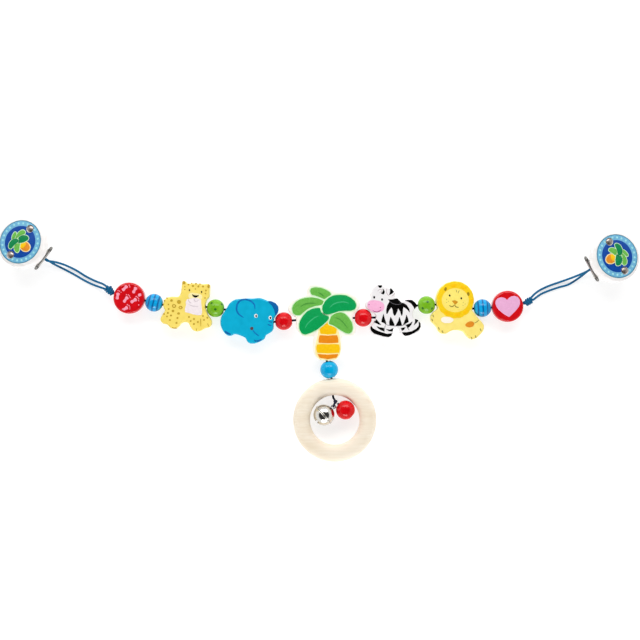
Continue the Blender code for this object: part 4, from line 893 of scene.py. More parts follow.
def make_bead(node, heading, material, radius=BEAD_DIAMETER / 2 - BEAD_ROOM, spots=None):
    """A turned bead with its bore along a heading. Its pattern values are the distance along the bore, and
    where it has spots the distance to the nearest of them, both in millimetres."""
    centre = middle_of(node)
    matrix = lie_along(centre, heading)
    surface = turned(bead_profile(radius, BORE_DIAMETER / 2), BEAD_STEPS)
    points = surface[0]
    values = {"along": points[:, 2] / MM}
    if spots is not None:
        local = unit((spots - centre) @ np.array(matrix)[:3, :3])
        values["spot"] = np.arccos(np.clip(unit(points) @ local.T, -1.0, 1.0)).min(1) * radius / MM
    add_piece(node + "_turned", surface, material, node, 50.0, values, matrix=matrix)


# Dots on the green beads as pixels of the photograph, and as many again on their hidden sides
GREEN_DOTS = {
    "green_bead_left": ((211.5, 303.0), (221.8, 304.3), (215.5, 309.4), (209.5, 315.0), (222.6, 314.6)),
    "green_bead_right": ((427.5, 301.8), (422.5, 308.4), (432.1, 308.6), (422.1, 297.0), (431.7, 297.0))}
FARTHEST_DOT_SHARE = 0.97


def dots_on_bead(node):
    """Places of the dots: each pixel brought onto the ball's upper half, and its mirror place below."""
    centre = middle_of(node)
    radius = BEAD_DIAMETER / 2
    pixel_x, pixel_y = np.array(GREEN_DOTS[node]).T
    x = (pixel_x - ORIGIN_PIXEL[0]) * PIXEL - centre[0]
    y = (ORIGIN_PIXEL[1] - pixel_y) * PIXEL - centre[1]
    flat = np.minimum(1.0, radius * FARTHEST_DOT_SHARE / np.maximum(np.hypot(x, y), WELD))
    z = np.sqrt(radius ** 2 - (x * flat) ** 2 - (y * flat) ** 2)
    upper = np.column_stack([x * flat, y * flat, z])
    return np.vstack([upper, -upper]) + centre


THREADED_BEADS = (
    ("red_bead_left", "cord_palm_elephant", bead_red, "red_lacquer"),
    ("red_bead_right", "cord_palm_zebra", bead_red, "red_lacquer"),
    ("blue_bead", "cord_palm_ring", bead_blue, "sky_lacquer"),
    ("striped_bead_left", "cord_leopard_footprint", bead_striped, "sky_lacquer"),
    ("striped_bead_right", "cord_lion_heart", bead_striped, "sky_lacquer"),
    ("green_bead_left", "cord_elephant_leopard", bead_spotted, "green_lacquer"),
    ("green_bead_right", "cord_zebra_lion", bead_spotted, "green_lacquer"))
for bead, link, paint, slot_name in THREADED_BEADS:
    link_start, link_end = line_of(link)
    make_bead(bead, heading_of(link_end - link_start), paint,
              spots=dots_on_bead(bead) if bead in GREEN_DOTS else None)
make_bead("ring_bead", RING_BEAD_BORE_HEADING, bead_red, RING_BEAD_DIAMETER / 2)


def make_ring():
    """The ring: a round section carried round a circle, with its radial bore."""
    centre_radius = RING_DIAMETER / 2 - RING_SECTION / 2
    section = arc((centre_radius, 0.0), RING_SECTION / 2, 90.0, 360.0 / SECTION_STEPS - 360.0, SECTION_STEPS)
    middle = middle_of("ring")
    piece = add_piece("ring_turned", turned(section, CIRCLE_STEPS), ring_maple, "ring", 60.0,
                      matrix=Matrix.Translation(middle))
    low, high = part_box("ring_cord")
    mouth = np.array([low.x + CORD_DIAMETER / 2, high.y, middle[2]])
    bore = lie_along(mouth, heading_of(mouth - middle))
    carve(piece, [rod(BORE_DIAMETER / 2, 3 * RING_SECTION, bore)], 60.0)


make_ring()


# Flat wood

def outline_of(node):
    """The outline of a flat node, read where its upper rim starts to round, in order round the piece."""
    copy = bmesh.new()
    copy.from_mesh(nodes[node].data)
    bmesh.ops.remove_doubles(copy, verts=copy.verts, dist=OUTLINE_WELD)
    level = FACE_HEIGHT - RIM_RADIUS
    held = {vertex for vertex in copy.verts if abs(vertex.co.z - level) < LEVEL_ROOM}
    edges = [edge for edge in copy.edges if edge.verts[0] in held and edge.verts[1] in held]
    beside = {}
    for edge in edges:
        first, second = edge.verts
        beside.setdefault(first, []).append(second)
        beside.setdefault(second, []).append(first)
    start = edges[0].verts[0]
    order = [start]
    before, here = None, start
    while True:
        onward = [vertex for vertex in beside[here] if vertex is not before]
        before, here = here, onward[0]
        if here is start:
            break
        order.append(here)
    line = np.array([vertex.co.to_tuple()[:2] for vertex in order])
    copy.free()
    return counterclockwise(line)


INSET_SHARE = 0.7
INSET_WINDOW = 3
INSET_OF_FLAT = 1.2


def outward_normals(line):
    """Unit vectors that point out of a closed line that runs counter-clockwise."""
    along = unit(np.roll(line, -1, 0) - np.roll(line, 1, 0))
    return np.column_stack([along[:, 1], -along[:, 0]])


def inset_limits(line, wanted):
    """How far each point may move inwards: the wanted distance, or a share of the radius of the largest
    circle that touches the line there from within, the least v.v / (2 v.m) over all other points, where v
    leads to the other point and m is the inward normal."""
    inward = -outward_normals(line)
    away = line[None] - line[:, None]
    depth = np.einsum("ijk,ik->ij", away, inward)
    radius = np.where(depth > WELD, (away ** 2).sum(2) / (2 * np.maximum(depth, WELD)), np.inf)
    limit = np.minimum(wanted, INSET_SHARE * radius.min(1))
    shifts = range(-INSET_WINDOW, INSET_WINDOW + 1)
    low = np.stack([np.roll(limit, shift) for shift in shifts]).min(0)
    return np.stack([np.roll(low, shift) for shift in shifts]).mean(0)


def plate_surface(line, thickness, rim):
    """A plate: a line with a rounded rim at both faces. Ring k is the line moved in by rim (1 - sin a) of its
    own limit and set at height half - rim (1 - cos a), the faces close it."""
    normal = outward_normals(line)
    limit = inset_limits(line, rim)
    angle = np.radians(np.linspace(0.0, 90.0, RIM_STEPS + 1))
    inward = np.concatenate([[INSET_OF_FLAT], 1 - np.sin(angle)])
    height = np.concatenate([[thickness / 2], thickness / 2 - rim * (1 - np.cos(angle))])
    inward = np.concatenate([inward, inward[::-1]])
    height = np.concatenate([height, -height[::-1]])
    flat = line[None] - (inward[:, None] * limit[None, :])[..., None] * normal[None]
    lift = np.broadcast_to(height[:, None, None], (*flat.shape[:2], 1))
    points = np.concatenate([flat, lift], -1).reshape(-1, 3)
    rows, columns = flat.shape[:2]
    faces = grid_faces(rows, columns).tolist()
    faces += [list(range(columns)), list(range(rows * columns - 1, (rows - 1) * columns - 1, -1))]
    return points, faces


def add_plate(node, line, rim, material, bores):
    """A flat piece: its outline as a plate that lies on the table, with its cord bores cut."""
    piece = add_piece(node + "_plate", plate_surface(line, FACE_HEIGHT, rim), material, node,
                      matrix=Matrix.Translation((0.0, 0.0, FACE_HEIGHT / 2)))
    carve(piece, bores, 40.0)


def make_plate(node, material, bores):
    """A flat figure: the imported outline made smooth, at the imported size."""
    line = softened(outline_of(node), OUTLINE_STEP, OUTLINE_SOFTNESS)
    low, high = (np.array(corner[:2]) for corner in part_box(node))
    size = line.max(0) - line.min(0)
    line = (line - (line.max(0) + line.min(0)) / 2) * ((high - low) / size) + (high + low) / 2
    add_plate(node, line, RIM_RADIUS, material, bores)


def bore_through(point, along, length=BORE_OVERRUN):
    """A bore at half the plates' height, past a point and along a vector."""
    spot = np.array([point[0], point[1], FACE_HEIGHT / 2])
    return rod(BORE_DIAMETER / 2, length, lie_along(spot, heading_of(along)))


def straight_bore(cord_node):
    """The bore that a held cord runs in, past both mouths."""
    start, end = line_of(cord_node)
    return bore_through((start + end) / 2, end - start)


def palm_bores():
    """The palm's bore across, in line with its two outer cords, and its bore up the trunk."""
    across = np.vstack([line_of("cord_palm_zebra"), line_of("cord_palm_elephant")])
    right = across[:2][across[:2, 0].argmin()]
    left = across[2:][across[2:, 0].argmax()]
    down = np.array(line_of("cord_palm_ring"))
    upper = down[down[:, 1].argmax()]
    along = down[down[:, 1].argmin()] - upper
    spot = upper - along / np.linalg.norm(along) * BORE_OVERRUN / 4
    return [bore_through((left + right) / 2, right - left), bore_through(spot, along, TRUNK_BORE_LENGTH)]


make_plate("palm", palm_cream, palm_bores())
ANIMALS = (
    ("elephant", elephant_blue, "sky_lacquer"), ("leopard", leopard_yellow, "yellow_lacquer"),
    ("zebra", zebra_white, "white_lacquer"), ("lion", lion_yellow, "yellow_lacquer"))
for figure, paint, slot_name in ANIMALS:
    make_plate(figure, paint, [straight_bore(figure + "_cord")])
for disc in ("heart_disc", "footprint_disc"):
    add_plate(disc, circle_line(DISC_DIAMETER / 2, CIRCLE_STEPS, *middle_of(disc)[:2]), DISC_RIM, disc_red,
              [straight_bore(disc + "_cord")])


# Printed pictures

def film_surface(lines, level, softness):
    """Thin films on a face. Each line gives three rings: its root below the face, its edge just under the
    film's height, and its rounded shoulder a little further in, closed above and below."""
    points = []
    faces = []
    first = 0
    for line in lines:
        ring = softened(counterclockwise(line), INK_STEP, softness)
        count = len(ring)
        inner = ring - outward_normals(ring) * FILM_EDGE
        top = level * LAYER
        heights = ((inner, top), (ring, top - LAYER / 3), (ring, -FILM_ROOT))
        points += [np.column_stack([flat, np.full(count, height)]) for flat, height in heights]
        faces += (grid_faces(3, count) + first).tolist()
        past = first + 3 * count
        faces += [list(range(first, first + count)), list(range(past - 1, past - count - 1, -1))]
        first = past
    return np.vstack(points), faces


def print_on(node, name, lines, ink, level, softness, matrix=None):
    """Prints lines, given in the plane of the face, on a flat piece or where a matrix puts the face. The
    softness of their corners is in millimetres."""
    return add_piece(name, film_surface(lines, level, softness * MM), inks[ink], node, sharp=60.0,
                     stands_in=False, matrix=matrix or Matrix.Translation((0.0, 0.0, FACE_HEIGHT)))


def on_face(node, centre, pixels):
    """Pixels of the photograph brought to a flat piece: counted from the piece's middle there and here."""
    return middle_of(node)[:2] + (np.asarray(pixels, float) - centre) * (PIXEL, -PIXEL)


def print_picture(node, centre, rows):
    """Prints a figure's films. Each row has a name, shapes in pixels, an ink, a layer and a softness."""
    for name, shapes, ink, level, softness in rows:
        lines = [on_face(node, centre, shape) for shape in shapes]
        print_on(node, "%s_%s" % (node, name), lines, ink, level, softness)


def oval(x, y, width, height=None, tilt=0.0, count=24):
    """An oval as pixels of the photograph: centre, full width and height, and its tilt in degrees."""
    height = width if height is None else height
    angle = np.linspace(0.0, math.tau, count, endpoint=False)
    a, b = width / 2 * np.cos(angle), height / 2 * np.sin(angle)
    c, s = math.cos(math.radians(tilt)), math.sin(math.radians(tilt))
    return np.column_stack([x + a * c - b * s, y + a * s + b * c])


def ovals(rows):
    """An oval for each row."""
    return [oval(*row) for row in rows]


def stroke(path, width, thin=0.35, spacing=0.4):
    """A brush stroke as pixels: its path with half its width to each side, thinner towards both ends."""
    line = softened(np.asarray(path, float), spacing, 3 * spacing, closed=False)
    along = unit(np.gradient(line, axis=0))
    normal = np.column_stack([-along[:, 1], along[:, 0]])
    share = np.linspace(-1.0, 1.0, len(line))
    reach = (width / 2 * (1 - (1 - thin) * share ** 4))[:, None]
    return np.vstack([line + normal * reach, (line - normal * reach)[::-1]])


def strokes(paths, width, thin=0.35):
    """A brush stroke along each path."""
    return [stroke(path, width, thin) for path in paths]


def grown(line, by, spacing=0.6):
    """A closed pixel line moved outwards by a distance."""
    even = evenly(counterclockwise(line), spacing, closed=True)
    return even + outward_normals(even) * by


# The palm tree's leaves, veins and trunk, as pixels of the photograph
PALM_CENTRE = (324.0, 322.5)
LEAF_TOP = (
    (310, 291), (311, 288.5), (315, 287.5), (321, 288), (326, 290), (330, 292.5), (331.5, 295), (328, 297),
    (324.5, 299.5), (321, 298), (316, 296), (311.5, 295))
LEAF_LEFT = (
    (292, 309), (293, 305.5), (296, 302), (300, 299.5), (306, 298), (312, 297.5), (318, 298.5),
    (322.5, 300.5), (324, 302), (322, 305), (314, 306.5), (308, 309), (303, 313), (300, 315.5),
    (296, 315.5), (293, 313.5))
LEAF_LOWER_LEFT = (
    (299, 325), (300, 321), (303, 316), (307, 311.5), (312, 309), (317, 308), (320, 308), (321, 312),
    (324, 315), (329, 316.5), (329, 319), (326, 322.5), (322, 326), (317, 330), (311, 333), (305, 335),
    (301.5, 333.5), (299.5, 330))
LEAF_UPPER_RIGHT = (
    (322, 310), (322.5, 306), (325, 301.5), (329, 297.5), (334, 295.5), (340, 295), (346, 295.5),
    (351, 298), (355, 301.5), (356.5, 305.5), (355, 309.5), (351, 311), (345, 311), (339, 311.5),
    (333, 313.5), (328, 315), (324, 314))
LEAF_LOWER_RIGHT = (
    (331, 316.5), (335, 313.5), (341, 312.5), (345, 314), (349, 318), (352, 323), (353, 328), (352, 332),
    (349, 334), (345, 333), (340, 330), (334, 326), (328.5, 324))
VEIN_TOP = ((318, 292.5), (321, 294), (324.5, 297))
VEIN_LEFT = ((300, 307.5), (304, 304.5), (308, 303.5), (316, 303.5))
VEIN_LOWER_LEFT = ((305, 328.5), (307, 324.5), (311, 320.5), (315, 317.5), (319, 316))
VEIN_UPPER_RIGHT = ((329.5, 308), (333, 304.5), (338, 302.5), (344, 302), (349.5, 303.5))
VEIN_LOWER_RIGHT = ((334.5, 317.5), (340, 319.5), (344, 323.5), (347.5, 328.5))
LIGHT_LEAVES = (LEAF_TOP, LEAF_LEFT, LEAF_LOWER_RIGHT)
DARK_LEAVES = (LEAF_LOWER_LEFT, LEAF_UPPER_RIGHT)
LIGHT_VEINS = (VEIN_TOP, VEIN_LEFT, VEIN_LOWER_RIGHT)
DARK_VEINS = (VEIN_LOWER_LEFT, VEIN_UPPER_RIGHT)
TRUNK_UNDER = (
    (319.5, 322), (336, 322), (339.4, 335), (341.2, 348), (340, 355), (336, 359.8), (328, 360.6),
    (319.4, 359.8), (315.6, 355), (314.8, 348), (317.8, 335))
TRUNK_YELLOW = (
    ((321.4, 322), (335.6, 322), (336.8, 330), (336, 334), (328, 334.8), (320.4, 334), (319.6, 330)),
    ((317, 344.6), (322, 344.2), (328, 344.5), (334, 344.2), (339.2, 344.6), (340, 348.6), (339.3, 353),
     (334, 353.3), (328, 353.6), (322, 353.3), (317.2, 353), (316.1, 348.6)))
TRUNK_ORANGE = (
    ((319.6, 335.4), (324, 335.5), (328, 335.9), (332, 335.5), (337.2, 335.4), (338.4, 339.4),
     (338.4, 343), (328, 343.6), (318.6, 343), (318.6, 339.4)),
    ((317.3, 354.2), (322, 354.4), (328, 354.8), (334, 354.4), (338.6, 354.2), (336.4, 358), (328, 359.4),
     (319.4, 358)))

LEAF_EDGE = 0.9
VEIN_WIDTH = 1.0

# The palm tree: banded trunk, then leaves with pale edges and veins, the upper ones over the lower
print_picture("palm", PALM_CENTRE, (
    ("trunk_under", [TRUNK_UNDER], "trunk_pale", 1, 0.8),
    ("trunk_yellow", TRUNK_YELLOW, "trunk_yellow", 2, 0.28),
    ("trunk_orange", TRUNK_ORANGE, "trunk_orange", 2, 0.28),
    ("light_edges", [grown(leaf, LEAF_EDGE) for leaf in LIGHT_LEAVES], "mint", 3, 0.7),
    ("light_leaves", LIGHT_LEAVES, "light_leaf", 4, 0.7),
    ("dark_edges", [grown(leaf, LEAF_EDGE) for leaf in DARK_LEAVES], "mint", 5, 0.7),
    ("dark_leaves", DARK_LEAVES, "dark_leaf", 6, 0.7),
    ("light_veins", strokes(LIGHT_VEINS, VEIN_WIDTH, 0.2), "light_leaf_vein", 7, 0.2),
    ("dark_veins", strokes(DARK_VEINS, VEIN_WIDTH, 0.2), "dark_leaf_vein", 7, 0.2)))

LEOPARD_CENTRE = (185.9, 306.25)
LEOPARD_BELLY = (
    (187, 299.3), (190.6, 298.5), (194.5, 297.8), (198, 298.2), (201.3, 299.6), (201.2, 303), (201.7, 307),
    (202.2, 312), (201.4, 314.8), (198, 315.3), (193, 314.3), (188.6, 312.9), (185, 312.1), (184.9, 308.6),
    (186.1, 305), (185.7, 302))
LEOPARD_MUZZLE = (
    (188.4, 294.6), (191, 292.4), (195.6, 293.2), (200.4, 293.8), (202.6, 296.4), (201.6, 299.4),
    (197, 298.6), (190.6, 298.8), (188.2, 297.4))
LEOPARD_FUR = (
    ((193.7, 298.5), (194.9, 299.9), (193.6, 300.7), (196.6, 301.6), (198.9, 300.2)),
    ((188.2, 299.4), (189.2, 302.4), (191.4, 303.2)),
    ((188.6, 304.4), (192, 306.1), (198.3, 306.4)))
LEOPARD_NOSE = (
    (192, 294), (193.5, 295), (196, 295.6), (199, 295), (198, 296.6), (196, 297.6), (194, 297.2),
    (192.6, 295.8))
LEOPARD_EYES = ((189.5, 290.2, 1.3, 2.2), (201.6, 292.0, 1.3, 2.2))
LEOPARD_EAR_TIPS = ((184.0, 282.6, 3.0, 3.6), (208.6, 286.2, 2.6, 4.2))
LEOPARD_SPOTS = (
    (188.5, 284.5, 2.0), (193, 286, 2.4), (196, 283.5, 1.8), (198.5, 286.6, 2.2), (200, 284, 1.6),
    (203, 286.5, 2.2), (195.5, 289, 1.5), (191.8, 283.3, 1.5), (206, 290.5, 2.0), (205.5, 293.5, 1.6),
    (205, 298, 1.6), (184.8, 286.6, 1.5), (184.8, 289.6, 1.4), (171.5, 300.5, 2.8), (179, 302, 4.2),
    (168.5, 304.5, 1.8), (168.7, 309, 2.0), (173, 311, 2.8), (168, 313, 2.2), (164, 314, 2.0),
    (178.7, 313.5, 2.8), (167, 316.5, 1.9), (171, 315.5, 2.2), (170, 320, 2.2), (177.5, 318, 2.2),
    (176.5, 323, 2.2), (167, 298, 1.6), (164.5, 300.5, 1.9), (163.6, 304, 1.6), (189, 317, 2.0),
    (194, 319, 2.2), (190.7, 321, 2.0), (198, 322, 2.2), (194, 324, 2.2), (203, 316, 2.0),
    (207.5, 317.8, 2.2), (204, 320, 2.0))
LEOPARD_RINGS = ((174.0, 306.0, 3.8, 3.6), (180.5, 307.6, 3.8, 3.0))
LEOPARD_LINES = (
    ((196.4, 328.4), (196.4, 331.2)),
    ((207.6, 323.5), (208.8, 326.5)),
    ((200.6, 318.6), (200.9, 326.4)),
    ((171.5, 327.2), (174.5, 328.6), (177.5, 328.2)))
LEOPARD_SPOT_HEIGHT_SHARE = 0.92
RING_POINTS = 18

# The leopard: pale belly, ochre spots, two of them open rings, black nose and eyes
open_rings = [oval(*ring, count=RING_POINTS) for ring in LEOPARD_RINGS]
print_picture("leopard", LEOPARD_CENTRE, (
    ("muzzle", [LEOPARD_MUZZLE], "leopard_muzzle", 1, 0.7),
    ("belly", [LEOPARD_BELLY], "leopard_belly", 2, 0.35),
    ("fur", strokes(LEOPARD_FUR, 0.55, 0.4), "fur_line", 3, 0.12),
    ("spots", [oval(x, y, size, size * LEOPARD_SPOT_HEIGHT_SHARE) for x, y, size in LEOPARD_SPOTS], "ochre",
     2, 0.25),
    ("rings", strokes([np.vstack([ring, ring[:1]]) for ring in open_rings], 0.9, 1.0), "ochre", 3, 0.15),
    ("ear_tips", ovals(LEOPARD_EAR_TIPS), "ochre", 3, 0.25),
    ("lines", strokes(LEOPARD_LINES, 0.7, 0.5), "ochre", 4, 0.12),
    ("nose", [LEOPARD_NOSE], "black", 5, 0.2),
    ("eyes", ovals(LEOPARD_EYES), "black", 5, 0.15)))

ELEPHANT_CENTRE = (249.15, 320.85)
ELEPHANT_FAR_EAR = (
    (268.2, 300.8), (271.5, 301.2), (275.5, 303), (278.4, 306.5), (278.6, 310.5), (276.8, 314.8),
    (275.3, 315.2), (274.2, 310), (271.8, 305.5), (268.8, 302.8))
ELEPHANT_EAR_LINE = (
    (255, 309.3), (254.6, 304.5), (250.8, 300.8), (245.5, 299.2), (240.3, 300.2), (237.2, 304),
    (236.4, 309), (237.5, 313), (240.5, 315.7), (243.8, 317.6))
ELEPHANT_LINES = (
    ((252.2, 329.4), (254.8, 332.8), (257, 334.8), (259.3, 336)),
    ((268.2, 321), (270.6, 322.2), (272.6, 321.8)),
    ((267.6, 324.2), (269.8, 325.6), (271.8, 325.4)))
ELEPHANT_FEET = (
    ((224.4, 330.4), (226.4, 331.2), (228.6, 332.6), (231, 334), (230.8, 335.2), (227.6, 334.4),
     (225, 332.6)),
    ((253.8, 339.8), (256.4, 340.6), (259, 339.8), (261.6, 338.8), (261.4, 340.4), (258.4, 341.8),
     (255, 341.6)))
ELEPHANT_EYES = ((256.0, 315.9, 3.4, 4.0), (270.3, 317.8, 3.2, 3.8))
ELEPHANT_PUPILS = ((256.2, 316.1, 1.9, 2.5), (270.4, 318.0, 1.8, 2.4))
ELEPHANT_TRUNK_TIP = (251.8, 328.5, 3.4, 3.2)
ELEPHANT_EAR_LINE_WIDTH = 1.8
ELEPHANT_LINE_WIDTH = 1.1

# The elephant: dark far ear, the near ear and folds as lines, dark feet, white eyes with pupils
print_picture("elephant", ELEPHANT_CENTRE, (
    ("far_ear", [ELEPHANT_FAR_EAR], "deep_blue", 1, 0.4),
    ("ear_line", strokes([ELEPHANT_EAR_LINE], ELEPHANT_EAR_LINE_WIDTH), "elephant_line", 1, 0.2),
    ("lines", strokes(ELEPHANT_LINES, ELEPHANT_LINE_WIDTH), "elephant_line", 1, 0.2),
    ("feet", ELEPHANT_FEET, "deep_blue", 1, 0.2),
    ("trunk_tip", ovals([ELEPHANT_TRUNK_TIP]), "trunk_tip", 2, 0.2),
    ("eyes", ovals(ELEPHANT_EYES), "white", 2, 0.2),
    ("pupils", ovals(ELEPHANT_PUPILS), "black", 3, 0.12)))

ZEBRA_CENTRE = (393.3, 311.5)
ZEBRA_MUZZLE = (
    (367.4, 304), (369, 300.8), (374, 300), (380, 301), (384, 303.6), (385, 307), (383.6, 310.4),
    (379.6, 312.4), (374.4, 312.4), (370, 310.4), (367.8, 307.4))
ZEBRA_STRIPES = (
    ((377.8, 285.2), (382.6, 285.2), (381.9, 287.2), (380.8, 288.1), (379.3, 287.7)),
    ((382.6, 288.7), (384.1, 289.5), (385.2, 292), (384, 294.6), (382.4, 294.0), (381.0, 293.2),
     (382.8, 291.9), (383.3, 290.2)),
    ((390.2, 288.3), (391.6, 288.3), (394.2, 291.6), (392.4, 293.6), (389.3, 295.2), (390.2, 292)),
    ((388, 299.2), (392, 299.4), (397.5, 298.2), (399.5, 300.2), (401.6, 302.6), (404, 303), (407, 305),
     (409.6, 309), (410, 312.6), (407.6, 309.6), (403.6, 306.8), (403.2, 310), (403, 313.4),
     (402.3, 315.8), (401.4, 315.2), (400.4, 311.6), (398.4, 308.4), (397.6, 311.4), (396, 315),
     (394.6, 316), (393.4, 313.8), (392.8, 309.8), (391.8, 307.4), (389.6, 310), (387.8, 313.6),
     (386.6, 314), (386.4, 310), (387.2, 306), (389.4, 302), (389.6, 300.8)),
    ((383.8, 313.4), (384.8, 318), (386.2, 322), (386.6, 324.8), (384.2, 323), (381.6, 322), (382, 319)),
    ((390.8, 316.6), (392.4, 319.4), (394.8, 324.6), (394, 325.8), (389.6, 325.2), (389.4, 322)),
    ((399.6, 316.6), (400.8, 320), (402.2, 324.8), (401.6, 325.6), (396, 326), (396.4, 324.6), (398.4, 321)),
    ((406.6, 314.6), (408.2, 318), (409, 322), (406, 323.6), (403.2, 325), (404.6, 321.6), (405.8, 318)),
    ((404.6, 300.6), (408, 299.8), (412.2, 300), (415.6, 302.6), (417.8, 305.8), (416.2, 307.4),
     (414.8, 309.2), (413.6, 306.8), (411.4, 303.6), (408, 301.6)),
    ((376.6, 319), (378.6, 321.6), (381.6, 325), (378.6, 324.4), (374.4, 322.4), (374.2, 321.4),
     (375.8, 320.8)),
    ((376.6, 326), (379.6, 327.2), (384.2, 327.8), (384.4, 331.4), (380.6, 330), (378, 328)),
    ((386, 329), (390, 329.6), (393.8, 328), (392.8, 331.4), (389, 331.2)),
    ((371.2, 325.6), (373.4, 328.4), (378, 330.8), (383.2, 332.6), (387.2, 333.8), (392.8, 333.2),
     (391.4, 336), (388.6, 337.2), (383.6, 336.4), (379, 335), (374.4, 333.8), (371.4, 330.8), (370.6, 328)),
    ((401, 328), (405.8, 327.2), (404.2, 329.8), (402.2, 331), (401.6, 329.6)),
    ((402.2, 332.2), (406.8, 332.2), (412, 331.2), (416.6, 328.6), (419, 325.6), (419, 321.2),
     (420.8, 323.2), (421, 326.8), (419, 330.2), (414.6, 333), (410, 335.2), (405.6, 336), (403.4, 334.6)),
    ((405.8, 325), (410, 323.4), (412.8, 321.2), (411.8, 324.4), (409.6, 327), (408, 328)),
    ((415.2, 318.6), (418.8, 320.2), (416.8, 323), (414, 325.4), (415.2, 322)))
ZEBRA_EYES = ((374.4, 297.3, 2.0, 2.7), (382.3, 299.5, 1.9, 2.5))
ZEBRA_NOSTRILS = ((369.3, 304.6, 1.4, 1.1), (380.6, 307.6, 1.4, 1.1))
ZEBRA_MOUTH = ((373.0, 310.4), (375.0, 311.8), (377.5, 312.2), (380.0, 311.0), (381.6, 309.6))
ZEBRA_LEG_LINES = (
    ((385.6, 325.2), (384.8, 328.6), (384.2, 332.4)),
    ((406.4, 324.8), (407.8, 328), (409.7, 330.4)),
    ((385.2, 324.4), (390, 325.5), (396, 326), (401.6, 325.7), (406.6, 324)))
ZEBRA_TUFT_LINES = (
    ((377.8, 291.4), (379.2, 289.4), (381.6, 289.0), (382.9, 290.4), (381.4, 292.2), (379.4, 292.4)),
    ((387.4, 288.2), (386.2, 290.8), (387.0, 293.6), (389.6, 296.4)),
    ((391.8, 296.4), (394.0, 294.8), (395.6, 292.6)))
# A painted highlight: a thin grey curve across the black stripe where the top of the saddle separates
ZEBRA_SADDLE_HIGHLIGHT = ((389.6, 300.8), (392.0, 303.2), (396.0, 304.6), (400.0, 304.4), (402.6, 302.8))

# The zebra: pink muzzle, black stripes with pointed tips, small eyes, nostrils and mouth, and a painted
# highlight: a grey line across the black saddle stripe
print_picture("zebra", ZEBRA_CENTRE, (
    ("muzzle", [ZEBRA_MUZZLE], "pink", 1, 0.7),
    ("stripes", ZEBRA_STRIPES, "black", 1, 0.22),
    ("eyes", ovals(ZEBRA_EYES), "black", 2, 0.15),
    ("nostrils", ovals(ZEBRA_NOSTRILS) + strokes([ZEBRA_MOUTH], 0.9), "muzzle_line", 2, 0.12),
    # Painted highlight on the black saddle stripe, in grey line ink
    ("saddle_highlight", strokes([ZEBRA_SADDLE_HIGHLIGHT], 0.6, 0.2), "grey_line", 3, 0.1),
    ("leg_lines", strokes(ZEBRA_LEG_LINES, 0.5, 0.4), "grey_line", 2, 0.1),
    ("tuft_lines", strokes(ZEBRA_TUFT_LINES, 0.6, 0.4), "fur_line", 2, 0.1)))

LION_CENTRE = (457.75, 309.85)
LION_MANE = (455.6, 299.6, 37.2, 37.2)
LION_FACE = (455.6, 299.9, 27.0, 24.0)
LION_EYES = ((450.0, 295.2, 1.7, 2.3), (461.6, 298.0, 1.7, 2.3))
LION_NOSE = ((452.1, 300.5), (455.2, 299.9), (458.6, 301.6), (455.3, 304.6))
LION_LINES = (
    ((454.8, 304.4), (453.6, 306.2), (451.4, 306.7), (449.5, 304.9)),
    ((454.8, 304.4), (455.8, 306.4), (457.2, 307.2), (459.0, 307.0)))
LION_MARKS = (
    ((456.2, 289.2), (457.4, 291.0), (456.8, 292.2)),
    ((459.8, 290.0), (458.6, 291.6), (458.4, 293.2)),
    ((474.6, 322.8), (477.0, 321.8), (479.6, 319.4)))
LION_CLAWS = (
    (432.5, 319.8), (442.9, 331.4), (439.1, 328.0), (471.9, 338.0), (476.0, 336.3), (433.6, 315.6),
    (481.0, 329.4))
LION_CLAW = np.array(((-0.5, -1.3), (0.0, 0.0), (0.5, 1.3)))
LION_WHISKERS = (
    (447.0, 299.2), (448.8, 301.0), (446.9, 302.2), (463.6, 302.0), (465.4, 303.8), (463.4, 305.0))
LION_EARS = ((445.8, 288.7, 2.6, 3.8, 20.0), (468.6, 293.6, 2.4, 4.0, -10.0))
LION_BELLY = (
    (441.2, 318.6), (443.4, 316.6), (448.5, 316.5), (453, 317.8), (454, 320.2), (451, 322.6), (445, 322.9),
    (441.8, 321.2))
LION_TUFT = (
    (465.2, 324.6), (467.4, 322.2), (470.6, 320.8), (473.8, 321.4), (474.8, 323.8), (473.4, 326.2),
    (470, 327.2), (467, 326.6))
WHISKER_DOT = 0.8
MANE_POINTS = 15
MANE_SWELL = 0.04
MANE_LOCKS = (5.0, 52.0, 82.0, 118.0, 265.0, 300.0)
MANE_LOCK_SPREAD = 11.0
MANE_LOCK_REACH = 0.615


def mane_lock(heading):
    """One darker lock's course, a short curve that lies along the mane's ring at its heading."""
    x, y, width, height = LION_FACE
    angle = np.radians(heading + np.linspace(-MANE_LOCK_SPREAD, MANE_LOCK_SPREAD, 5))
    return np.column_stack([x + width * MANE_LOCK_REACH * np.cos(angle),
                            y + height * MANE_LOCK_REACH * np.sin(angle)])


def mane_line():
    """The mane's scalloped edge: its radius swells and falls as the absolute cosine of the angle."""
    x, y, width, height = LION_MANE
    angle = np.linspace(0.0, math.tau, 240, endpoint=False)
    size = 1.0 - MANE_SWELL * (1.0 - np.abs(np.cos(MANE_POINTS * angle / 2)) ** 0.7)
    return np.column_stack([x + width / 2 * size * np.cos(angle), y + height / 2 * size * np.sin(angle)])


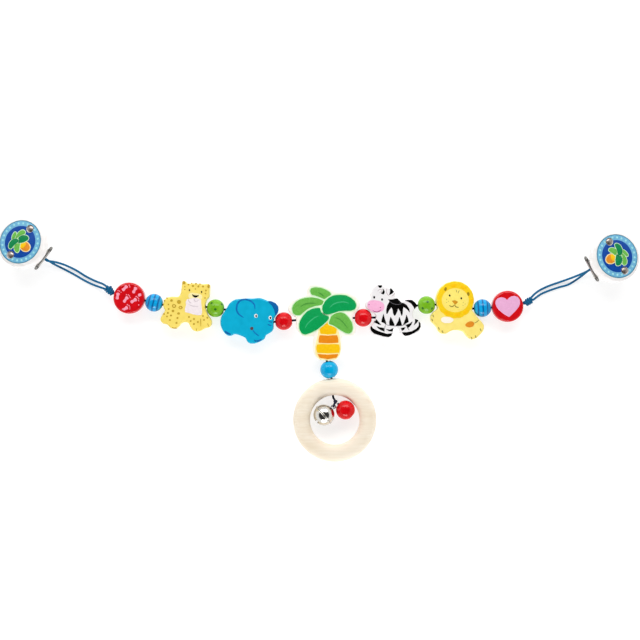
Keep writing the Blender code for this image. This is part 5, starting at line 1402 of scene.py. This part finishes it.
# The lion: golden mane with a scalloped edge round a pale face, ochre nose and lines, orange tuft
print_picture("lion", LION_CENTRE, (
    ("mane", [mane_line()], "mane", 1, 0.3),
    ("locks", strokes([mane_lock(heading) for heading in MANE_LOCKS], 3.0, 0.3), "mane_lock", 2, 0.3),
    ("face", [oval(*LION_FACE, count=60)], "lion_face", 3, 0.5),
    ("ears", ovals(LION_EARS), "lion_ear", 4, 0.2),
    ("belly", [LION_BELLY], "pale_belly", 3, 0.4),
    ("tuft", [LION_TUFT], "tuft", 1, 0.3),
    ("nose", [LION_NOSE], "nose", 4, 0.25),
    ("whiskers", [oval(x, y, WHISKER_DOT) for x, y in LION_WHISKERS], "claw", 4, 0.1),
    ("lines", strokes(LION_LINES, 0.8, 0.5), "lion_line", 5, 0.12),
    ("marks", strokes(LION_MARKS, 0.7, 0.4), "claw", 4, 0.12),
    ("claws", strokes([LION_CLAW + claw for claw in LION_CLAWS], 1.1, 0.6), "claw", 3, 0.12),
    ("eyes", ovals(LION_EYES), "black", 4, 0.15)))

HEART_CENTRE = (508.3, 306.0)
HEART = (
    (507.3, 299.8), (505.2, 297.7), (502, 296.9), (498.5, 297.6), (496, 300), (495.5, 303), (496.5, 306),
    (499, 309.5), (503, 313), (507, 315.6), (509.5, 316.8), (511.5, 314.8), (515, 311.3), (518.5, 307.3),
    (520.3, 303.5), (520.2, 300), (518.3, 297), (515, 295.5), (511.5, 296), (509, 297.8))
FOOTPRINT_CENTRE = (128.4, 298.3)
FOOTPRINTS = (
    (124.6, 288.4, 45.0), (134.4, 290.4, 60.0), (117.4, 296.2, 78.0), (125.4, 299.8, 52.0),
    (133.4, 301.0, 30.0), (124.6, 309.2, 30.0), (136.2, 309.6, 35.0), (141.0, 294.6, 20.0))
SOLE = (
    (-4.1, 0.1), (-3.8, -1.3), (-2.6, -1.9), (-1.1, -1.5), (0.4, -1.4), (1.9, -2.2), (3.3, -2.1),
    (4.0, -0.5), (3.6, 1.6), (2.1, 2.0), (0.5, 1.2), (-1.2, 1.5), (-2.8, 1.9), (-3.8, 1.3))
TOES = ((5.0, -2.8, 1.5), (6.1, -1.0, 1.5), (6.0, 1.0, 1.4), (5.0, 2.8, 1.3))
FOOTPRINT_SIZE = 0.86
FOOTPRINT_REACH = 13.2


def footprint(x, y, heading):
    """A bare foot's print as pixels: a waisted sole and four toes, turned to its heading."""
    c, s = math.cos(math.radians(heading)), -math.sin(math.radians(heading))

    def turn(points):
        a, b = np.asarray(points, float).T * FOOTPRINT_SIZE
        return np.column_stack([x + a * c - b * s, y + a * s + b * c])
    return [turn(SOLE)] + [turn(oval(along, across, size)) for along, across, size in TOES]


def within_disc(shapes):
    """Pixel shapes kept within the printed disc: those centred beyond its reach left out, the points of the
    others that lie beyond it drawn in to it."""
    kept = [shape - FOOTPRINT_CENTRE for shape in shapes]
    kept = [shape for shape in kept if np.linalg.norm(shape.mean(0)) < FOOTPRINT_REACH]
    inside = [FOOTPRINT_REACH / np.maximum(np.linalg.norm(shape, axis=1), FOOTPRINT_REACH) for shape in kept]
    return [shape * share[:, None] + FOOTPRINT_CENTRE for shape, share in zip(kept, inside)]


heart = on_face("heart_disc", HEART_CENTRE, HEART)
print_on("heart_disc", "heart_print", [heart], "heart_pink", 1, 0.45)
feet = within_disc([shape for spot in FOOTPRINTS for shape in footprint(*spot)])
feet = [on_face("footprint_disc", FOOTPRINT_CENTRE, shape) for shape in feet]
print_on("footprint_disc", "foot_prints", feet, "rose", 1, 0.18)


# Bell

def bell_matrix():
    """The bell's frame: its axis along its heading, at the middle of its seam."""
    return lie_along((middle_of("bell_upper_shell") + middle_of("bell_lower_shell")) / 2, BELL_AXIS_HEADING)


def shell_side(radius, start, end, rows=BELL_ROWS):
    """Points down a ball's side, (r sin a, r cos a), from one angle off the top to another, in degrees."""
    angle = np.radians(np.linspace(start, end, rows))
    return np.column_stack([radius * np.sin(angle), radius * np.cos(angle)])


def flange(sign):
    """The shell's turned-out rim: a rounded lip as wide as the flange, above or below the seam."""
    rim = BELL_SEAM / 2
    radius = BELL_DIAMETER / 2
    lip = arc((radius + BELL_FLANGE / 2, rim + BELL_FLANGE / 2), BELL_FLANGE / 2, 90.0, -180.0, 9)
    lip = np.vstack([[(radius, rim + BELL_FLANGE)], lip, [(radius - BELL_WALL, rim)]])
    return lip * (1.0, sign) if sign > 0 else (lip * (1.0, sign))[::-1]


def bell_slots(matrix):
    """Two crossed slots through the lower shell that end in round holes, each a box and two rods."""
    radius = BELL_DIAMETER / 2
    reach = BELL_SLOT_SPAN / 2
    half = (reach - BELL_SLOT_END / 4, BELL_SLOT_WIDTH / 2, radius / 2)
    corners = np.array([(x, y, z) for x in (-1, 1) for y in (-1, 1) for z in (-1, 1)], float) * half
    box = [(0, 1, 3, 2), (4, 6, 7, 5), (0, 4, 5, 1), (2, 3, 7, 6), (0, 2, 6, 4), (1, 5, 7, 3)]
    tools = []
    for turn in (0.0, math.pi / 2):
        local = matrix @ Matrix.Rotation(turn, 4, "Z") @ Matrix.Translation((0.0, 0.0, -radius))
        tools.append((placed(corners, local), box))
        for way in (-1.0, 1.0):
            spot = local @ Matrix.Translation((way * (reach - BELL_SLOT_END / 2), 0.0, 0.0))
            tools.append(rod(BELL_SLOT_END / 2, radius, spot))
    return tools


def make_shells(matrix):
    """The bell's two shells: the upper one open round the eye, the lower one slotted."""
    radius = BELL_DIAMETER / 2
    inner = radius - BELL_WALL
    top, under = (math.degrees(math.asin(BELL_EYE_HOLE / 2 / size)) for size in (radius, inner))
    near, past = 90.0 - SHELL_END, 90.0 + SHELL_END
    upper = np.vstack([shell_side(radius, top, near), flange(1.0), shell_side(inner, near, under)])
    lower = np.vstack([flange(-1.0), shell_side(radius, past, 180.0), shell_side(inner, 180.0, past)])
    for label, profile in (("upper", upper), ("lower", lower)):
        shell = add_piece("bell_" + label, turned(profile, BELL_STEPS), bell_nickel, "bell_%s_shell" % label,
                          35.0, matrix=matrix)
    carve(shell, bell_slots(matrix), 35.0)


def make_bell_eye(matrix):
    """The wire eye: a round loop over the upper shell, its legs bent apart inside."""
    radius = BELL_DIAMETER / 2
    wire = BELL_EYE_WIRE / 2
    loop = BELL_EYE_DIAMETER / 2 - wire
    leg = (BELL_EYE_HOLE - BELL_EYE_WIRE) / 2 - BELL_SEAM
    spread = math.degrees(math.asin(leg / loop))
    centre = radius + BELL_EYE_ROOM + CORD_DIAMETER / 2
    foot = radius - BELL_WALL - BELL_EYE_FOOT
    path = np.vstack([[(leg + BELL_EYE_FOOT, foot), (leg, foot)],
                      arc((0.0, centre), loop, spread - 90.0, 360.0 - 2 * spread, 40),
                      [(-leg, foot), (-leg - BELL_EYE_FOOT, foot)]])
    path = np.column_stack([np.zeros(len(path)), path])
    path = softened(path, EYE_SPACING, EYE_SOFTNESS, closed=False)
    surface = tube(path, wire, (1.0, 0.0, 0.0), WIRE_SIDES)
    add_piece("bell_eye_wire", surface, bell_nickel, "bell_eye", 60.0, matrix=matrix)


make_shells(bell_matrix())
make_bell_eye(bell_matrix())
refinished("bell_pellet", sheet_steel)


# Clips

# The small printed palm reads the big one's leaves, mirrored, its crown and trunk placed on the clip's face
MOTIF_SIZE = 0.36
MOTIF_CROWN = PALM_CENTRE[0], 310.0
MOTIF_PLACE = (-3.2, 0.0)
MOTIF_TRUNK = (7.2, -0.6, 11.8, 8.8)
MOTIF_TRUNK_TOP = (4.0, -0.6, 6.4, 7.4)
MOTIF_LEAF_EDGE = 1.6
MOTIF_TRUNK_EDGE = 0.8
PRINT_RADIUS = 17.6 * MM
PRINT_LINE = 0.65 * MM
FIELD_RADIUS = 13.0 * MM
DOT_RING_RADIUS = 15.1 * MM
RIM_DOT_DIAMETER = 1.9 * MM
RIM_DOTS = 24
FACE_SHARE = 0.98


def clip_matrix(side):
    """The clip's frame: its origin on the bail's hinge, +X away from the disc, tilted as it rests."""
    turn = Matrix.Rotation(math.radians(CLIP_HEADINGS[side]), 4, "Z") @ Matrix.Rotation(-clip_tilt, 4, "Y")
    return Matrix.Translation(knuckle(side)) @ turn


def motif(shape):
    """A shape of the big palm as a small one: mirrored, turned so that its trunk points to the bail."""
    across, down = ((np.asarray(shape, float) - MOTIF_CROWN) * MOTIF_SIZE).T
    return np.column_stack([MOTIF_PLACE[0] + down, MOTIF_PLACE[1] - across]) * PIXEL


def clip_disc_profile():
    """The disc's section from the middle of its face to the middle of its back, its rims rounded."""
    half = CLIP_DISC_THICKNESS / 2
    flat = CLIP_DISC_DIAMETER / 2 - CLIP_DISC_ROUND
    top = arc((flat, half - CLIP_DISC_ROUND), CLIP_DISC_ROUND, 90.0, -90.0, 12)
    bottom = arc((flat, CLIP_DISC_ROUND - half), CLIP_DISC_ROUND, 0.0, -90.0, 12)
    across = np.column_stack([np.linspace(0.0, 1.0, 6) * flat * FACE_SHARE, np.full(6, half)])
    return np.vstack([across, top, bottom, (across * (1.0, -1.0))[::-1]])


def rim_dots():
    """The dots of the printed rim, even round its ring, without those that a rivet's seat would cut."""
    turn = np.linspace(0.0, math.tau, RIM_DOTS, endpoint=False)
    spots = np.column_stack([np.cos(turn), np.sin(turn)]) * DOT_RING_RADIUS
    room = np.hypot(spots[:, 0], np.abs(spots[:, 1]) - RIVET_SPACING / 2)
    spots = spots[room > (RIVET_SEAT_DIAMETER + RIM_DOT_DIAMETER) / 2]
    return [circle_line(RIM_DOT_DIAMETER / 2, 20, x, y) for x, y in spots]


def make_clip_disc(side):
    """The wooden disc with rounded rims and sunk rivet holes, and the print on its face."""
    node = "clip_disc_" + side
    matrix = clip_matrix(side)
    middle = Matrix.Translation((-DISC_TO_BAIL, 0.0, CLIP_DISC_BACK + CLIP_DISC_THICKNESS / 2))
    surface = turned(clip_disc_profile(), CLIP_DISC_STEPS, closed=False)
    piece = add_piece(node + "_turned", surface, clip_white, node, matrix=matrix @ middle)
    face = matrix @ Matrix.Translation((-DISC_TO_BAIL, 0.0, clip_disc_front))
    spots = [face @ Matrix.Translation((0.0, y, 0.0)) for y in (RIVET_SPACING / 2, -RIVET_SPACING / 2)]
    seats = [rod(RIVET_SEAT_DIAMETER / 2, 2 * RIVET_SEAT_DEPTH, spot, 48) for spot in spots]
    holes = [rod(RIVET_SHANK_DIAMETER / 2 + RIVET_ROOM, 3 * CLIP_DISC_THICKNESS, spot, 32) for spot in spots]
    carve(piece, seats + holes, 40.0)
    trunk = oval(*MOTIF_TRUNK)
    leaf_edges = [motif(grown(leaf, MOTIF_LEAF_EDGE)) for leaf in LIGHT_LEAVES + DARK_LEAVES]
    rings = (("outer_line", PRINT_RADIUS, "clip_line"), ("rim", PRINT_RADIUS - PRINT_LINE, "clip_rim"),
             ("field", FIELD_RADIUS, "clip_field"))
    for level, (name, radius, ink) in enumerate(rings, 1):
        film = print_on(node, "clip_%s_%s" % (name, side), [circle_line(radius)], ink, level, 0.1, face)
        carve(film, seats)
    pictures = (
        ("dots", rim_dots(), "clip_dot", 3),
        ("trunk_edge", [grown(trunk, MOTIF_TRUNK_EDGE) * PIXEL], "trunk_pale", 4),
        ("trunk", [trunk * PIXEL], "tuft", 5),
        ("trunk_top", [oval(*MOTIF_TRUNK_TOP) * PIXEL], "trunk_yellow", 6),
        ("leaf_edges", leaf_edges, "mint", 7),
        ("light_leaves", [motif(leaf) for leaf in LIGHT_LEAVES], "light_leaf", 8),
        ("dark_leaves", [motif(leaf) for leaf in DARK_LEAVES], "clip_leaf", 9))
    for name, lines, ink, level in pictures:
        print_on(node, "clip_%s_%s" % (name, side), lines, ink, level, 0.2, face)


def make_rivets(side):
    """Two rivets through disc and sheet, with a shallow domed head in the seat and a closed foot below."""
    head = RIVET_HEAD_DIAMETER / 2
    shank = RIVET_SHANK_DIAMETER / 2
    seat = clip_disc_front - RIVET_SEAT_DEPTH + RIVET_ROOM
    foot = PLATE_HEIGHT - SHEET / 2 - RIVET_ROOM
    dome = shell_side(head, 0.0, 90.0, 14) * (1.0, RIVET_HEAD_HEIGHT / head) + (0.0, seat)
    closing = [(shank, seat), (shank, foot), (head, foot), (head * FOOT_TAPER, foot - RIVET_FOOT / 2),
               (shank, foot - RIVET_FOOT), (0.0, foot - RIVET_FOOT)]
    surface = turned(np.vstack([dome, closing]), RIVET_STEPS, closed=False)
    for label, y in (("a", RIVET_SPACING / 2), ("b", -RIVET_SPACING / 2)):
        node = "clip_rivet_%s_%s" % (label, side)
        matrix = clip_matrix(side) @ Matrix.Translation((-DISC_TO_BAIL, y, 0.0))
        add_piece(node + "_turned", surface, rivet_brass, node, matrix=matrix)


def make_bail(side):
    """The wire bail: round wire carried round a long loop with rounded corners."""
    half = BAIL_WIDTH / 2 - BAIL_CORNER
    drop = BAIL_HEIGHT - BAIL_CORNER
    corners = ((half, -BAIL_CORNER), (-half, -BAIL_CORNER), (-half, -drop), (half, -drop))
    bends = [arc(corner, BAIL_CORNER, 90.0 * turn, 90.0, 12) for turn, corner in enumerate(corners)]
    line = evenly(np.vstack(bends), BAIL_SPACING, closed=True)
    path = np.column_stack([np.zeros(len(line)), line])
    surface = tube(path, BAIL_WIRE / 2, (1.0, 0.0, 0.0), WIRE_SIDES, closed=True)
    matrix = Matrix.Translation(knuckle(side)) @ Matrix.Rotation(math.radians(CLIP_HEADINGS[side]), 4, "Z")
    add_piece("bail_%s_wire" % side, surface, wire_steel, "bail_" + side, 60.0, matrix=matrix)


for end in ("left", "right"):
    make_clip_disc(end)
    make_rivets(end)
    make_bail(end)
    for part, metal in (("plate", sheet_steel), ("jaw", sheet_steel), ("lever", sheet_steel),
                        ("pin", wire_steel), ("pad", pad_vinyl)):
        refinished("clip_%s_%s" % (part, end), metal)


# Table and light

TABLE_SIZE = 3.0
table_mesh = bpy.data.meshes.new("table")
table_corners = np.array([(-1, -1, 0), (1, -1, 0), (1, 1, 0), (-1, 1, 0)]) * TABLE_SIZE / 2
table_mesh.from_pydata(table_corners.tolist(), [], [(0, 1, 2, 3)])
table_mesh.materials.append(frosted_table("frosted_table"))
table = linked("table", table_mesh)

# Each light: its width and depth, its place and its power in watts
LIGHTS = {
    "back_band": ((2.2, 0.7), (0.0, 1.15, 1.0), 25.2),
    "front_card": ((0.9, 0.6), (0.0, -1.3, 0.58), 11.6)}


def add_light(name, size, place, power):
    """A soft square light aimed at the middle of the toy."""
    data = bpy.data.lights.new(name, "AREA")
    data.shape = "RECTANGLE"
    data.size, data.size_y = size
    data.energy = power
    light = linked(name, data)
    light.location = place
    light.rotation_euler = (-Vector(place)).to_track_quat("-Z", "Y").to_euler()


for light_name, settings in LIGHTS.items():
    add_light(light_name, *settings)

# The room: white walls all round and a dark ceiling, where the camera hangs between two softboxes
WALL_TOP = 0.45
CEILING_START = 0.6
world = bpy.data.worlds.new("studio")
world.use_nodes = True
room = world.node_tree
direction = add_node(room, "ShaderNodeTexCoord").outputs["Generated"]
height = add_node(room, "ShaderNodeSeparateXYZ", links={0: direction}).outputs["Z"]
room.links.new(two_tones(room, height, WALL_TOP, CEILING_START, "#FFFFFF", "#3C3C3C"),
               room.nodes["Background"].inputs["Color"])
bpy.context.scene.world = world
bpy.context.scene.view_settings.view_transform = "Standard"
